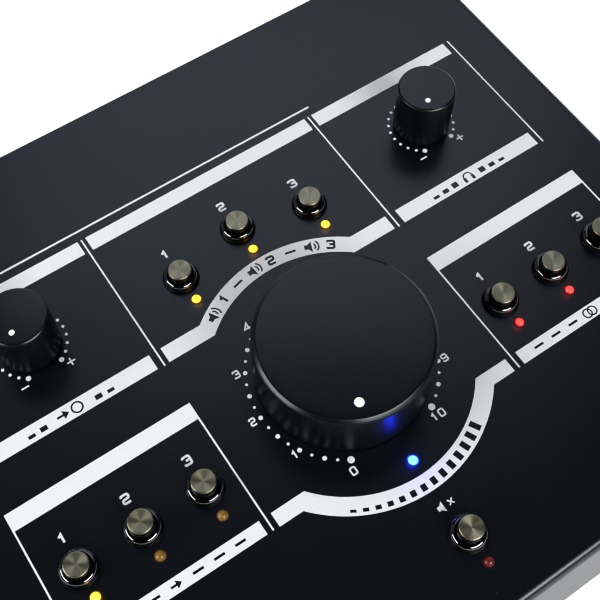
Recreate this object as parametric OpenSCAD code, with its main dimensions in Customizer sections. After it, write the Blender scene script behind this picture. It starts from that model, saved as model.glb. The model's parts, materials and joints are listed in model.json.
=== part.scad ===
// Desktop studio monitor controller: a folded steel wedge case with a large volume knob,
// two small level knobs and ten latching push buttons on its sloping panel.
// Millimetres. +X is the user's right, +Y the rear, +Z up. The origin is on the table,
// under the middle of the unit. Panel sizes are measured from the volume knob's centre.

/* [Case] */
// Width of the case over its side walls
case_w = 215; // [212:1:240]
// Length of the control panel from front edge to rear edge, along its slope
panel_l = 186; // [184:1:210]
// Slope of the control panel in degrees
slope = 9; // [7:0.5:11]
// Height of the front wall, from the case's bottom to the panel
front_h = 26; // [25:0.5:32]
// Steel sheet thickness
sheet = 1.2; // [0.8:0.1:1.6]
// Outside radius of the folds
fold_r = 2.6; // [2:0.1:4]
// Gap between the cover and the parts that slide into it
sheet_gap = 0.2; // [0.1:0.05:0.3]
// Height of the base's upturned flanges
flange_h = 7; // [6.5:0.1:7.2]
// Width of the cover's two rear fixing ears
ear_w = 12; // [10:0.5:16]
// Height of the cover's two rear fixing ears
ear_h = 9; // [8:0.5:12]

/* [Feet and screws] */
// Height of a rubber foot
foot_h = 5; // [4:0.5:8]
// Radius of a rubber foot where it meets the case
foot_r = 8; // [7:0.5:10]
// Distance of the feet from the case's edges
foot_inset = 22; // [18:1:30]
// Radius of a case screw's shank
screw_r = 1.5; // [1.25:0.05:1.6]
// Radius of a case screw's head
head_r = 2.8; // [2.6:0.1:3]
// Height of a case screw's head
head_h = 1.9; // [1.5:0.1:2.1]
// Length of a case screw's shank
screw_l = 4.5; // [4:0.25:5]

/* [Knobs] */
// Radius of the volume knob
master_r = 23.6; // [20:0.1:24.5]
// Height of the volume knob's top above the panel
master_h = 20.6; // [19:0.1:26]
// Radius of a small knob
level_r = 8.4; // [8:0.1:9]
// Height of a small knob's top above the panel
level_h = 17.2; // [16:0.1:20]
// Rounding of the volume knob's top edge
master_round = 1.5; // [0.5:0.1:3]
// Rounding of a small knob's top edge
level_round = 0.7; // [0.3:0.1:1.2]
// Gap under the knobs
knob_gap = 1; // [0.6:0.1:1.5]
// Wall of a small knob's skirt
level_wall = 1.3; // [1:0.1:1.4]
// Wall of the volume knob's skirt
master_wall = 2.4; // [1.5:0.1:4]
// Radius of a control shaft
shaft_r = 3; // [2.5:0.05:3.1]
// Running clearance of a shaft in its bushing
shaft_gap = 0.05; // [0.02:0.01:0.1]

/* [Buttons and lamps] */
// Radius of a button's black collar
collar_r = 5; // [4.9:0.05:5.5]
// Height of a collar above the panel
collar_h = 2.7; // [2.2:0.1:3]
// Radius of a button's cap
cap_r = 3.35; // [3:0.05:3.5]
// Radius of the metal disc in a cap's top
disc_r = 2.9; // [2.5:0.05:2.95]
// Height of a released cap's top above the panel
cap_h = 6.3; // [5.5:0.1:7]
// How far a latched cap stands below a released one
latch_drop = 1.5; // [1:0.1:2]
// Full travel of a button from released to its stop
press_travel = 2.5; // [2.2:0.1:2.6]
// Gap between a cap and its collar
cap_gap = 0.35; // [0.3:0.01:0.4]
// Radius of a lamp's lens
lamp_r = 1.5; // [1.25:0.05:1.55]
// Distance of a lamp from the middle of its button
lamp_drop = 8.15; // [7.6:0.05:9]

/* [Panel layout] */
// Distance from the front edge to the volume knob's centre
dial_from_front = 74.5; // [73:0.5:78]
// Sideways distance of the small knobs from the centre line
level_x = 65.5; // [62:0.5:70]
// Distance of the small knobs behind the volume knob
level_y = 51.9; // [48:0.5:54]
// Radius of the arc that carries the speaker buttons
speaker_arc_r = 51.6; // [50:0.2:54]
// Angle between neighbouring speaker buttons
speaker_step = 24.6; // [22:0.2:26]
// Sideways distance of the inner row button from the centre line
row_x = 47.4; // [45:0.2:50]
// Pitch of the row buttons
row_pitch = 17.8; // [16:0.2:18.5]
// Distance of the button rows in front of the volume knob
row_drop = 8; // [6:0.5:12]
// Distance of the mute button in front of the volume knob
mute_drop = 53.7; // [52:0.5:55]
// Distance of the power lamp in front of the volume knob
power_lamp_drop = 31.2; // [30:0.2:34]

/* [Sockets] */
// Radius of a quarter inch socket's bore
jack_r = 3.25; // [3.2:0.05:3.4]
// Radius of a quarter inch socket's threaded bushing
bushing_r = 4.75; // [4.5:0.05:5]
// Thickness of a socket nut
nut_t = 2.2; // [2:0.1:3]
// Width of a quarter inch socket's housing
jack_w = 15.5; // [15:0.5:17]
// Height of one quarter inch socket's housing
jack_h = 13; // [12.5:0.5:14]
// Length of a quarter inch socket's housing
jack_l = 28; // [26:0.5:30]
// Height between two stacked sockets
jack_pitch = 18; // [17:0.5:19]
// Width of a combination socket's flange
combi_w = 26; // [25:0.5:27]
// Height of a combination socket's flange
combi_h = 31; // [30:0.5:32]
// Length of a combination socket's housing
combi_l = 24; // [22:0.5:26]
// Radius of a minijack socket's bore
mini_r = 1.8; // [1.76:0.01:1.85]
// How far the power button stands out of the rear panel
power_button_out = 4; // [3:0.25:6]

/* [Boards] */
// Thickness of a circuit board
board_t = 1.6; // [1.2:0.1:2]
// Height of the main board above the base
standoff_h = 6; // [5.8:0.1:8]
// Depth of the control board's top face below the panel's outer face
board_depth = 13; // [12.8:0.1:14]
// Gap between the main board's side edges and the base's flanges
board_gap = 5; // [3:0.5:9]

/* [Hidden] */
$fn = 64;
small = 0.05;          // slack between a screw, pin or lens and its hole
past = 1;              // how far a cutter runs past what it cuts

case_d = panel_l * cos(slope);
shift_y = (nut_t - power_button_out) / 2;
front_y = shift_y - case_d / 2;
rear_y = shift_y + case_d / 2;
base_z = foot_h;
front_top_z = base_z + front_h;
rear_top_z = front_top_z + case_d * tan(slope);
inner_half_w = case_w / 2 - sheet - sheet_gap;
floor_z = base_z + sheet;
main_board_z = floor_z + standoff_h;
board_top_z = main_board_z + board_t;
jack_z = board_top_z + jack_h / 2;
combi_z = board_top_z + combi_h / 2;

main_half_w = inner_half_w - sheet - board_gap;
control_half_w = main_half_w - 2;

foot_x = case_w / 2 - foot_inset;
foot_y = case_d / 2 - foot_inset;
side_screw_y = [-60, 0, 60];
side_screw_z = base_z + flange_h - 2;
rear_screw_x = case_w / 2 - 10;
rear_low_z = base_z + flange_h - 3;
rear_high_z = rear_top_z - sheet / cos(slope) - ear_h / 2;

// Panel positions, [x, y] from the volume knob's centre.
speaker_at = [for (i = [1, 0, -1])
    [speaker_arc_r * cos(90 + i * speaker_step), speaker_arc_r * sin(90 + i * speaker_step)]];
mix_at = [for (i = [0:2]) [row_x + i * row_pitch, -row_drop]];
input_at = [for (i = [0:2]) [-row_x - i * row_pitch, -row_drop]];
mute_at = [[0, -mute_drop]];
button_at = concat(speaker_at, mix_at, input_at, mute_at);
lamp_at = [for (p = button_at) p - [0, lamp_drop]];
power_lamp_at = [0, -power_lamp_drop];
level_at = [[-level_x, level_y], [level_x, level_y]];

// Where each button stands at rest: 1 is latched in, 0 is released.
latched = [1, 1, 1, 1, 1, 0, 0, 0, 1, 0];

// The rear row from right to left, seen from above: power switch, inlet, two output pairs,
// single output, line input pair and two combination sockets, with equal gaps between them.
power_switch_w = 12;
power_switch_l = 18;
inlet_w = 9;
inlet_l = 13;
inlet_r = 4.2;         // flange of the inlet
inlet_z = jack_z + 2;
power_cap_r = 3.6;
rear_margin = 9.5;     // free width beside the row
rear_widths = [power_switch_w, inlet_w, jack_w, jack_w, jack_w, jack_w, combi_w, combi_w];
rear_last = len(rear_widths) - 1;
function width_before(i) = i == 0 ? 0 : rear_widths[i - 1] + width_before(i - 1);
rear_gap = (case_w - 2 * rear_margin - width_before(rear_last + 1)) / rear_last;
rear_x = [for (i = [0:rear_last])
    case_w / 2 - rear_margin - width_before(i) - rear_widths[i] / 2 - i * rear_gap];
switch_x = rear_x[0];
inlet_x = rear_x[1];
output_x = [rear_x[2], rear_x[3]];
sub_x = rear_x[4];
line_x = rear_x[5];
combi_x = [rear_x[6], rear_x[7]];

// Sockets.
mini_bushing_r = 3;
mini_nut_r = 4.4;
mini_w = 8;
mini_l = 14;
jack_nut_r = 7;
socket_end = 4;        // closed end of a socket's bore
combi_r = 11.8;        // body of a combination socket in its hole
combi_insert_r = 7.9;
combi_shell_r = 9.6;
combi_ring = 8;        // depth of the ring round the insert
pin_hole_r = 1.3;
pin_circle_r = 5.6;
flange_round = 3;
flange_hole_at = [9.8, 12.3];
flange_hole_r = 1.6;

// Controls below the panel.
pot_r = 8.5;
pot_base_h = 4;
pot_bushing_r = shaft_r + 0.5 + shaft_gap;
pot_bushing_h = 5.5;
washer_r = 6.4;
washer_t = 0.5;
pot_nut_r = 5.8;
pot_nut_t = 2;
switch_w = 8.5;
switch_top = 5;        // depth of a switch body's top face
stem_r = 1.6;
stem_end = 8;          // depth of a released stem's end
stem_hole_end = stem_end + press_travel + 1;
cap_foot = 2;          // depth of a released cap's foot
collar_tube = 2.4;     // depth of a collar's sleeve
collar_tube_r = collar_r - 0.6;
disc_t = 0.6;
dish = 0.15;           // hollow of a cap's disc
shaft_end = 10;        // depth of a shaft's end
master_shaft_h = master_h - 4;
level_shaft_h = level_h - 3;
hub_r = 5.2;
hub_foot = pot_bushing_h + 0.8;
marker_t = 0.6;
master_marker_r = 1.5;
master_marker_at = [18.3, -114.6];
level_marker_r = 0.95;
level_marker_at = [[4.6, -126], [4.6, -125]];
spacer_r = 2.75;
spacer_bore = 8;       // depth of the screw hole in a spacer
edge_inset = 8;        // distance of a board's screws from its edges
control_rear = level_y + 16;
control_front = row_drop + 32;
tongue_front = mute_drop + lamp_drop + 4;
tongue_half_w = 20;
spacer_at = [for (x = [-1, 1], y = [control_rear - edge_inset, edge_inset - control_front])
    [x * (control_half_w - edge_inset), y]];
standoff_at = concat([[0, 0]], [for (x = [-1, 1], y = [front_y + 20, rear_y - 52])
    [x * (main_half_w - edge_inset), y]]);
relay_size = [10, 20, 10];
relay_at = [for (x = [-60, -40, 40, 60]) [x, 30]];
capacitor_r = 4;
capacitor_h = 10;
capacitor_at = [for (x = [-20, 20], y = [15, 30]) [x, y]];
ribbon_drop = 30;      // distance of the ribbon in front of the volume knob
ribbon_w = 25;
ribbon_t = 0.8;
plug_d = 5;
plug_t = 3.2;
board_screw_r = 1.25;
board_head_r = 2.4;
board_head_h = 1.6;
shaft_flat = 1.5;      // distance of a shaft's flat from its axis
shaft_flat_l = 7;      // length of the flat
slot_w = 0.7;          // cross slots of the screws
slot_edge = 0.8;
slot_depth = 1;

// ---- Helpers ----

// Places children in the panel's frame: origin at the volume knob's centre on the outer
// face, Y up the slope, Z out of the panel.
module on_panel(at = [0, 0]) {
    translate([0, front_y, front_top_z]) rotate([slope, 0, 0])
        translate([at[0], dial_from_front + at[1], 0]) children();
}

// Places children on the rear panel's outer face, with Z pointing out to the rear.
module on_rear(x, z) {
    translate([x, rear_y, z]) rotate([-90, 0, 0]) children();
}

// Places children on the front wall's outer face, with Z pointing out to the front.
module on_front(x, z) {
    translate([x, front_y, z]) rotate([90, 0, 0]) children();
}

// Places children on both side walls' outer faces, with Z pointing out.
module on_sides(y, z) {
    for (side = [-1, 1])
        translate([side * case_w / 2, y, z]) rotate([0, side * 90, 0]) children();
}

// A bar along Z from z = low to z = high.
module post(r, low, high) {
    translate([0, 0, low]) cylinder(r = r, h = high - low);
}

// A block centred on X and Y, from z = low to z = high.
module block(size, low, high) {
    translate([-size[0] / 2, -size[1] / 2, low]) cube([size[0], size[1], high - low]);
}

// A flat rectangle with round corners, centred.
module round_rect(size, r) {
    square([size[0] - 2 * r, size[1]], center = true);
    square([size[0], size[1] - 2 * r], center = true);
    for (x = [-1, 1], y = [-1, 1])
        translate([x * (size[0] / 2 - r), y * (size[1] / 2 - r)]) circle(r);
}

// Half outline of a drum with a rounded top edge.
module drum_outline(r, low, high, round) {
    translate([0, low]) square([r, high - low - round]);
    translate([0, low]) square([r - round, high - low]);
    translate([r - round, high - round]) circle(round);
}

// A pan head screw whose head stands on z = 0, with its shank going down.
module pan_screw(shank_r, top_r, top_h, length) {
    difference() {
        union() {
            rotate_extrude() intersection() {
                square([top_r, top_h]);
                translate([0, top_h - 3 * top_r]) circle(3 * top_r);
            }
            post(shank_r, -length, 0);
        }
        for (turn = [0, 90])
            rotate([0, 0, turn])
                block([2 * (top_r - slot_edge), slot_w], top_h - slot_depth, top_h + past);
    }
}

// ---- Case ----

// The wedge's side outline, shrunk by inset, with the front fold rounded.
module wedge_outline(inset, low, rear) {
    r = fold_r - inset;
    y = front_y + fold_r;
    z = front_top_z + fold_r * tan(slope) - fold_r / cos(slope);
    top = rear_y + rear;
    polygon([
        [y - r, low], [y - r, z],
        [y - r * sin(slope), z + r * cos(slope)],
        [top, z + (top - y) * tan(slope) + r / cos(slope)],
        [top, low]
    ]);
    translate([y, z]) circle(r);
}

// Height of the panel's underside at a place along Y.
function panel_under_z(y) = front_top_z + (y - front_y) * tan(slope) - sheet / cos(slope);

// The case's solid envelope, shrunk by inset, with all three top folds rounded.
module case_envelope(inset, low, rear) {
    r = fold_r - inset;
    half = case_w / 2 - inset;
    deep = rear_top_z + past;
    intersection() {
        rotate([90, 0, 90]) translate([0, 0, -half])
            linear_extrude(2 * half) wedge_outline(inset, low, rear);
        translate([0, front_y, front_top_z]) rotate([slope, 0, 0])
            translate([0, 1.2 * panel_l, -inset]) rotate([90, 0, 0])
                linear_extrude(1.4 * panel_l) {
                    translate([-half + r, -deep]) square([2 * half - 2 * r, deep]);
                    translate([-half, -deep]) square([2 * half, deep - r]);
                    for (side = [-1, 1]) translate([side * (half - r), -r]) circle(r);
                }
    }
}

module top_cover() {
    color([0.10, 0.10, 0.12]) {
        difference() {
            case_envelope(0, base_z, 0);
            case_envelope(sheet, base_z - past, past);
            for (p = button_at) on_panel(p) post(collar_tube_r + small, -2 * sheet, past);
            for (p = concat(lamp_at, [power_lamp_at]))
                on_panel(p) post(lamp_r + small, -2 * sheet, past);
            for (p = concat(level_at, [[0, 0]]))
                on_panel(p) post(pot_bushing_r + small, -2 * sheet, past);
            on_front(level_x, jack_z) post(bushing_r + small, -2 * sheet, past);
            on_front(-level_x, jack_z) post(mini_bushing_r + small, -2 * sheet, past);
            for (y = side_screw_y) on_sides(y, side_screw_z) post(screw_r + small, -2 * sheet, past);
        }
        // Ears that the rear panel is screwed to.
        for (side = [-1, 1]) difference() {
            translate([side * rear_screw_x - ear_w / 2, 0, 0]) rotate([90, 0, 90])
                linear_extrude(ear_w) polygon([
                    for (y = [rear_y - sheet, rear_y - 2 * sheet]) [y, rear_high_z - ear_h / 2],
                    for (y = [rear_y - 2 * sheet, rear_y - sheet]) [y, panel_under_z(y) + sheet / 2]
                ]);
            on_rear(side * rear_screw_x, rear_high_z) post(screw_r + small, -4 * sheet, past);
        }
    }
}

module base_tray() {
    half = inner_half_w;
    first = front_y + sheet + sheet_gap;
    last = rear_y - sheet;
    color([0.10, 0.10, 0.12]) difference() {
        translate([-half, first, base_z]) cube([2 * half, last - first, flange_h]);
        translate([-half + sheet, first + sheet, floor_z])
            cube([2 * (half - sheet), last - first - 2 * sheet, flange_h]);
        for (x = [-foot_x, foot_x], y = [-foot_y, foot_y])
            translate([x, y + shift_y, 0]) post(screw_r + small, base_z - past, floor_z + past);
        for (y = side_screw_y) on_sides(y, side_screw_z)
            post(screw_r + small, -5 * sheet, past);
        for (side = [-1, 1])
            on_rear(side * rear_screw_x, rear_low_z) post(screw_r + small, -5 * sheet, past);
    }
}

module rear_panel() {
    color([0.10, 0.10, 0.12]) difference() {
        intersection() {
            translate([-inner_half_w, rear_y - sheet, base_z])
                cube([2 * inner_half_w, sheet, rear_top_z]);
            case_envelope(sheet + sheet_gap, base_z, past);
        }
        for (x = output_x, row = [0, 1]) on_rear(x, jack_z + row * jack_pitch)
            post(bushing_r + small, -2 * sheet, past);
        for (row = [0, 1]) on_rear(line_x, jack_z + row * jack_pitch)
            post(bushing_r + small, -2 * sheet, past);
        on_rear(sub_x, jack_z) post(bushing_r + small, -2 * sheet, past);
        for (x = combi_x) on_rear(x, combi_z) post(combi_r + small, -2 * sheet, past);
        on_rear(inlet_x, inlet_z) post(inlet_r + small, -2 * sheet, past);
        on_rear(switch_x, inlet_z) post(power_cap_r + cap_gap, -2 * sheet, past);
        for (side = [-1, 1], z = [rear_low_z, rear_high_z])
            on_rear(side * rear_screw_x, z) post(screw_r + small, -2 * sheet, past);
    }
}

module rubber_feet() {
    color([0.06, 0.06, 0.06])
        for (x = [-foot_x, foot_x], y = [-foot_y, foot_y]) translate([x, y + shift_y, 0])
            rotate_extrude() difference() {
                polygon([[0, 0], [foot_r - 1.2, 0], [foot_r - 0.6, 0.5], [foot_r, foot_h], [0, foot_h]]);
                square([screw_r + small, foot_h]);
                square([head_r + 0.3, foot_h - 2]);
            }
}

module foot_screws() {
    color("silver")
        for (x = [-foot_x, foot_x], y = [-foot_y, foot_y])
            translate([x, y + shift_y, foot_h - 2]) mirror([0, 0, 1])
                pan_screw(screw_r, head_r, min(head_h, foot_h - 2.5), screw_l);
}

module case_screws() {
    color([0.15, 0.15, 0.16]) {
        for (y = side_screw_y) on_sides(y, side_screw_z)
            pan_screw(screw_r, head_r, head_h, screw_l);
        for (side = [-1, 1], z = [rear_low_z, rear_high_z])
            on_rear(side * rear_screw_x, z) pan_screw(screw_r, head_r, head_h, screw_l);
    }
}

// ---- Boards ----

module main_board() {
    color([0.05, 0.25, 0.12]) difference() {
        translate([-main_half_w, front_y + 3 * sheet, main_board_z])
            cube([2 * main_half_w, case_d - 7 * sheet, board_t]);
        for (p = standoff_at) translate(p)
            post(board_screw_r + small, main_board_z - past, board_top_z + past);
    }
    // Output relays and smoothing capacitors.
    color([0.85, 0.83, 0.75]) for (p = relay_at)
        translate(p) block(relay_size, board_top_z, board_top_z + relay_size[2]);
    color([0.15, 0.15, 0.3]) for (p = capacitor_at)
        translate(p) post(capacitor_r, board_top_z, board_top_z + capacitor_h);
}

module board_standoffs() {
    color("silver") for (p = standoff_at) translate(p) difference() {
        post(spacer_r, floor_z, main_board_z);
        post(board_screw_r + small, floor_z - past, main_board_z + past);
    }
}

module board_screws() {
    color("silver") {
        for (p = standoff_at) translate([p[0], p[1], board_top_z])
            pan_screw(board_screw_r, board_head_r, board_head_h, board_t + standoff_h - 1);
        for (p = spacer_at) on_panel(p) translate([0, 0, -board_depth - board_t])
            mirror([0, 0, 1]) pan_screw(board_screw_r, board_head_r, board_head_h, board_t + spacer_bore - 2);
    }
}

// The control board leaves the front corners free for the front sockets.
module control_board() {
    color([0.05, 0.25, 0.12]) on_panel() difference() {
        translate([0, 0, -board_depth - board_t]) linear_extrude(board_t) {
            translate([-control_half_w, -control_front])
                square([2 * control_half_w, control_front + control_rear]);
            translate([-tongue_half_w, -tongue_front])
                square([2 * tongue_half_w, tongue_front - control_front + past]);
        }
        for (p = spacer_at) translate(p)
            post(board_screw_r + small, -board_depth - board_t - past, -board_depth + past);
    }
}

module control_spacers() {
    color("silver") for (p = spacer_at) on_panel(p) difference() {
        post(spacer_r, -board_depth, -sheet);
        post(board_screw_r + small, -board_depth - past, -board_depth + spacer_bore);
    }
}

// Ribbon between the two boards: a plug on each and one loose bend of flat cable.
module ribbon_cable() {
    back = ribbon_drop - plug_d / 2;
    y = front_y + (dial_from_front - back) * cos(slope);
    under = front_top_z + (dial_from_front - back) * sin(slope) - (board_depth + board_t) * cos(slope);
    low = board_top_z + plug_t / 2;
    high = under - plug_t / 2 - ribbon_t / 2;
    bend = (high - low) / 2;
    steps = 16;
    function rim(r, i) = [bend_y + r * sin(i * 180 / steps), (low + high) / 2 - r * cos(i * 180 / steps)];
    bend_y = plug_d / 2;
    outer = bend + ribbon_t / 2;
    inner = bend - ribbon_t / 2;
    color([0.6, 0.6, 0.62]) translate([-ribbon_w / 2, y, 0]) rotate([90, 0, 90])
        linear_extrude(ribbon_w) polygon([
            [0, low - ribbon_t / 2],
            for (i = [0:steps]) rim(outer, i),
            [0, high + ribbon_t / 2],
            [0, high - ribbon_t / 2],
            for (i = [steps:-1:0]) rim(inner, i),
            [0, low + ribbon_t / 2]
        ]);
    color([0.1, 0.1, 0.1]) {
        translate([0, y, 0]) block([ribbon_w + 2, plug_d], board_top_z, board_top_z + plug_t);
        on_panel([0, -back])
            block([ribbon_w + 2, plug_d], -board_depth - board_t - plug_t, -board_depth - board_t);
    }
}

// ---- Controls under the panel ----

// A rotary pot with its threaded bushing, hanging from the panel.
module pot_body(size) {
    difference() {
        union() {
            block([size * 2, size * 2], -board_depth, -board_depth + pot_base_h);
            post(size, -board_depth + pot_base_h, -sheet);
            post(pot_bushing_r, -sheet, pot_bushing_h);
        }
        post(shaft_r + shaft_gap, -shaft_end - 0.3, pot_bushing_h + past);
    }
}

module master_pot() {
    color([0.5, 0.5, 0.52]) on_panel() pot_body(pot_r);
}

module level_pots() {
    color([0.5, 0.5, 0.52]) for (p = level_at) on_panel(p) pot_body(pot_r - 2.5);
}

module pot_nuts() {
    color("silver") for (p = concat(level_at, [[0, 0]])) on_panel(p) difference() {
        union() {
            post(washer_r, 0, washer_t);
            translate([0, 0, washer_t]) cylinder(r = pot_nut_r, h = pot_nut_t, $fn = 6);
        }
        post(pot_bushing_r + small, -past, pot_nut_t + washer_t + past);
    }
}

module switch_bodies() {
    color([0.1, 0.1, 0.1]) for (p = button_at) on_panel(p) difference() {
        block([switch_w, switch_w], -board_depth, -switch_top);
        post(stem_r + cap_gap, -stem_hole_end, -switch_top + past);
    }
}

module button_collars() {
    lip = 0.9;
    inner = cap_r + cap_gap;
    color([0.03, 0.03, 0.03]) for (p = button_at) on_panel(p) rotate_extrude() difference() {
        union() {
            polygon([[inner, 0], [collar_r, 0], [collar_r, 0.6], [collar_r - 0.25, collar_h - lip],
                [inner, collar_h - lip]]);
            intersection() {
                translate([collar_r - 0.25 - lip, collar_h - lip]) circle(lip);
                translate([inner, collar_h - lip - 0.01]) square([collar_r, lip + 0.01]);
            }
            translate([inner, -collar_tube]) square([collar_tube_r - inner, collar_tube + 0.01]);
        }
        translate([0, -collar_tube - past]) square([inner, collar_h + collar_tube + 2 * past]);
    }
}

// A 3 mm lamp: domed lens, collar and two legs down to the board.
module lamp() {
    foot = 6;
    post(lamp_r, -foot, -0.4);
    translate([0, 0, -0.4]) intersection() {
        sphere(lamp_r);
        post(lamp_r, 0, lamp_r);
    }
    post(lamp_r + 0.4, -foot - 1, -foot);
    for (x = [-1.27, 1.27]) translate([x * 0.8, 0, 0])
        block([0.6, 0.6], -board_depth, -foot - 1);
}

module speaker_lamps() {
    color([1, 0.85, 0.1]) for (i = [0:2]) on_panel(lamp_at[i]) lamp();
}

module mix_lamps() {
    color([1, 0.1, 0.1]) for (i = [3, 4, 5, 9]) on_panel(lamp_at[i]) lamp();
}

module input_lamps() {
    color([1, 0.85, 0.1]) for (i = [6:8]) on_panel(lamp_at[i]) lamp();
}

module power_lamp() {
    color([0.2, 0.5, 1]) on_panel(power_lamp_at) lamp();
}

// ---- Sockets ----

// A quarter inch socket block with the given number of stacked sockets, in the frame of
// the wall it sits behind: the wall's outer face is z = 0, and up is given by up_sign.
module jack_block(rows, up_sign) {
    high = jack_h + (rows - 1) * jack_pitch;
    difference() {
        union() {
            translate([-jack_w / 2, up_sign > 0 ? -jack_h / 2 : jack_h / 2 - high, -sheet - jack_l])
                cube([jack_w, high, jack_l]);
            for (row = [0:rows - 1])
                translate([0, up_sign * row * jack_pitch, 0]) post(bushing_r, -sheet, nut_t - 0.4);
        }
        for (row = [0:rows - 1]) translate([0, up_sign * row * jack_pitch, 0])
            post(jack_r, -sheet - jack_l + socket_end, nut_t + past);
    }
}

module jack_nut(outer, inner) {
    difference() {
        cylinder(r = outer, h = nut_t, $fn = 6);
        post(inner + small, -past, nut_t + past);
    }
}

module output_sockets() {
    color([0.12, 0.12, 0.12]) {
        for (x = output_x) on_rear(x, jack_z) jack_block(2, -1);
        on_rear(sub_x, jack_z) jack_block(1, -1);
    }
}

module line_sockets() {
    color([0.12, 0.12, 0.12]) on_rear(line_x, jack_z) jack_block(2, -1);
}

module headphone_socket() {
    color([0.12, 0.12, 0.12]) on_front(level_x, jack_z) jack_block(1, 1);
}

module aux_socket() {
    color([0.12, 0.12, 0.12]) on_front(-level_x, jack_z) difference() {
        union() {
            block([mini_w, jack_h], -sheet - mini_l, -sheet);
            post(mini_bushing_r, -sheet, nut_t - 0.4);
        }
        post(mini_r, -sheet - mini_l + 2, nut_t + past);
    }
}

module socket_nuts() {
    color("silver") {
        for (x = concat(output_x, [line_x]), row = [0, 1])
            on_rear(x, jack_z + row * jack_pitch) jack_nut(jack_nut_r, bushing_r);
        on_rear(sub_x, jack_z) jack_nut(jack_nut_r, bushing_r);
        on_front(level_x, jack_z) jack_nut(jack_nut_r, bushing_r);
        on_front(-level_x, jack_z) jack_nut(mini_nut_r, mini_bushing_r);
    }
}

// A combination socket: a ring for a three pin plug's shell round a quarter inch bore.
module combi_sockets() {
    color([0.08, 0.08, 0.08]) for (x = combi_x) on_rear(x, combi_z) difference() {
        union() {
            linear_extrude(nut_t) round_rect([combi_w, combi_h], flange_round);
            post(combi_r, -sheet, 0);
            block([combi_w, combi_h], -sheet - combi_l, -sheet);
        }
        difference() {
            post(combi_shell_r, -combi_ring, nut_t + past);
            post(combi_insert_r, -combi_ring - past, nut_t - 0.8);
        }
        post(jack_r, -combi_l + socket_end, nut_t + past);
        for (turn = [30, 150, 270]) rotate([0, 0, turn]) translate([pin_circle_r, 0, 0])
            post(pin_hole_r, -combi_ring, nut_t + past);
        for (side = [-1, 1]) translate(side * flange_hole_at)
            post(flange_hole_r, 0.6, nut_t + past);
    }
}

module dc_inlet() {
    color([0.1, 0.1, 0.1]) on_rear(inlet_x, inlet_z) {
        difference() {
            union() {
                block([inlet_w, 2 * (inlet_z - board_top_z)], -sheet - inlet_l, -sheet);
                post(inlet_r, -sheet, 0.6);
            }
            post(inlet_r - 1, -9, past);
        }
        post(1.05, -9, -1);
    }
}

module power_switch() {
    color([0.1, 0.1, 0.1]) on_rear(switch_x, inlet_z) difference() {
        block([power_switch_w, 2 * (inlet_z - board_top_z)], -sheet - power_switch_l, -sheet - 4);
        post(stem_r + cap_gap, -sheet - power_switch_l + 2, 0);
    }
}

module power_button() {
    color([0.1, 0.1, 0.1]) on_rear(switch_x, inlet_z) {
        rotate_extrude() drum_outline(power_cap_r, -sheet - 1, power_button_out, 0.6);
        post(stem_r, -sheet - 9, -sheet - 0.5);
    }
}

// ---- Knobs ----

// A knob shell: rounded drum, hollow below, with a ribbed hub bored for the shaft.
module knob_shell(r, high, round, wall, shaft_top, marker, marker_r, ribs) {
    difference() {
        rotate_extrude() drum_outline(r, knob_gap, high, round);
        difference() {
            post(r - wall, knob_gap - past, high - 3);
            post(hub_r, hub_foot, high);
            for (i = [0:ribs - 1]) rotate([0, 0, i * 360 / ribs])
                translate([0, -0.6, hub_foot + 1]) cube([r - wall / 2, 1.2, high]);
        }
        flat_ended_post(shaft_r + small, shaft_flat + small, hub_foot - past,
            shaft_top - shaft_flat_l + small, shaft_top + 0.2);
        marker_place(marker) post(marker_r, high - marker_t, high + past);
    }
}

// Places children at a polar position [radius, angle] on a knob.
module marker_place(at) {
    rotate([0, 0, at[1]]) translate([at[0], 0, 0]) children();
}

module marker_disc(at, r, high) {
    marker_place(at) post(r, high - marker_t, high);
}

// A bar along Z with a flat on its front side, from z = start up to its end.
module flat_ended_post(r, flat, low, start, high) {
    difference() {
        post(r, low, high);
        translate([-2 * r, -2 * r - flat, start]) cube([4 * r, 2 * r, high - start + past]);
    }
}

// A shaft with the usual flat ground on its upper end.
module control_shaft(top) {
    flat_ended_post(shaft_r, shaft_flat, -shaft_end, top - shaft_flat_l, top);
}

module master_knob() {
    color([0.07, 0.08, 0.10]) on_panel() knob_shell(master_r, master_h, master_round,
        master_wall, master_shaft_h, master_marker_at, master_marker_r, 8);
}

module master_marker() {
    color("white") on_panel() marker_disc(master_marker_at, master_marker_r, master_h);
}

module master_shaft() {
    color("silver") on_panel() control_shaft(master_shaft_h);
}

module level_knob(i) {
    color([0.07, 0.08, 0.10]) on_panel(level_at[i]) knob_shell(level_r, level_h, level_round,
        level_wall, level_shaft_h, level_marker_at[i], level_marker_r, 4);
}

module level_marker(i) {
    color("white") on_panel(level_at[i])
        marker_disc(level_marker_at[i], level_marker_r, level_h);
}

module level_shaft(i) {
    color("silver") on_panel(level_at[i]) control_shaft(level_shaft_h);
}

// ---- Buttons ----

function rest_drop(i) = latched[i] * latch_drop;

module button_cap(i) {
    color([0.03, 0.03, 0.03]) on_panel(button_at[i]) translate([0, 0, -rest_drop(i)]) {
        difference() {
            rotate_extrude() drum_outline(cap_r, -cap_foot, cap_h, 0.35);
            post(disc_r, cap_h - disc_t, cap_h + past);
        }
        post(stem_r, -stem_end, -cap_foot + 0.01);
    }
}

// The spun metal disc, slightly dished.
module button_disc(i) {
    ball = (disc_r * disc_r + dish * dish) / (2 * dish);
    color([0.6, 0.6, 0.52]) on_panel(button_at[i]) translate([0, 0, -rest_drop(i)])
        rotate_extrude() difference() {
            translate([0, cap_h - disc_t]) square([disc_r, disc_t]);
            intersection() {
                translate([0, cap_h + ball - dish]) circle(ball, $fn = 256);
                translate([0, cap_h - dish - small]) square([disc_r, 2 * dish]);
            }
        }
}

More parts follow.
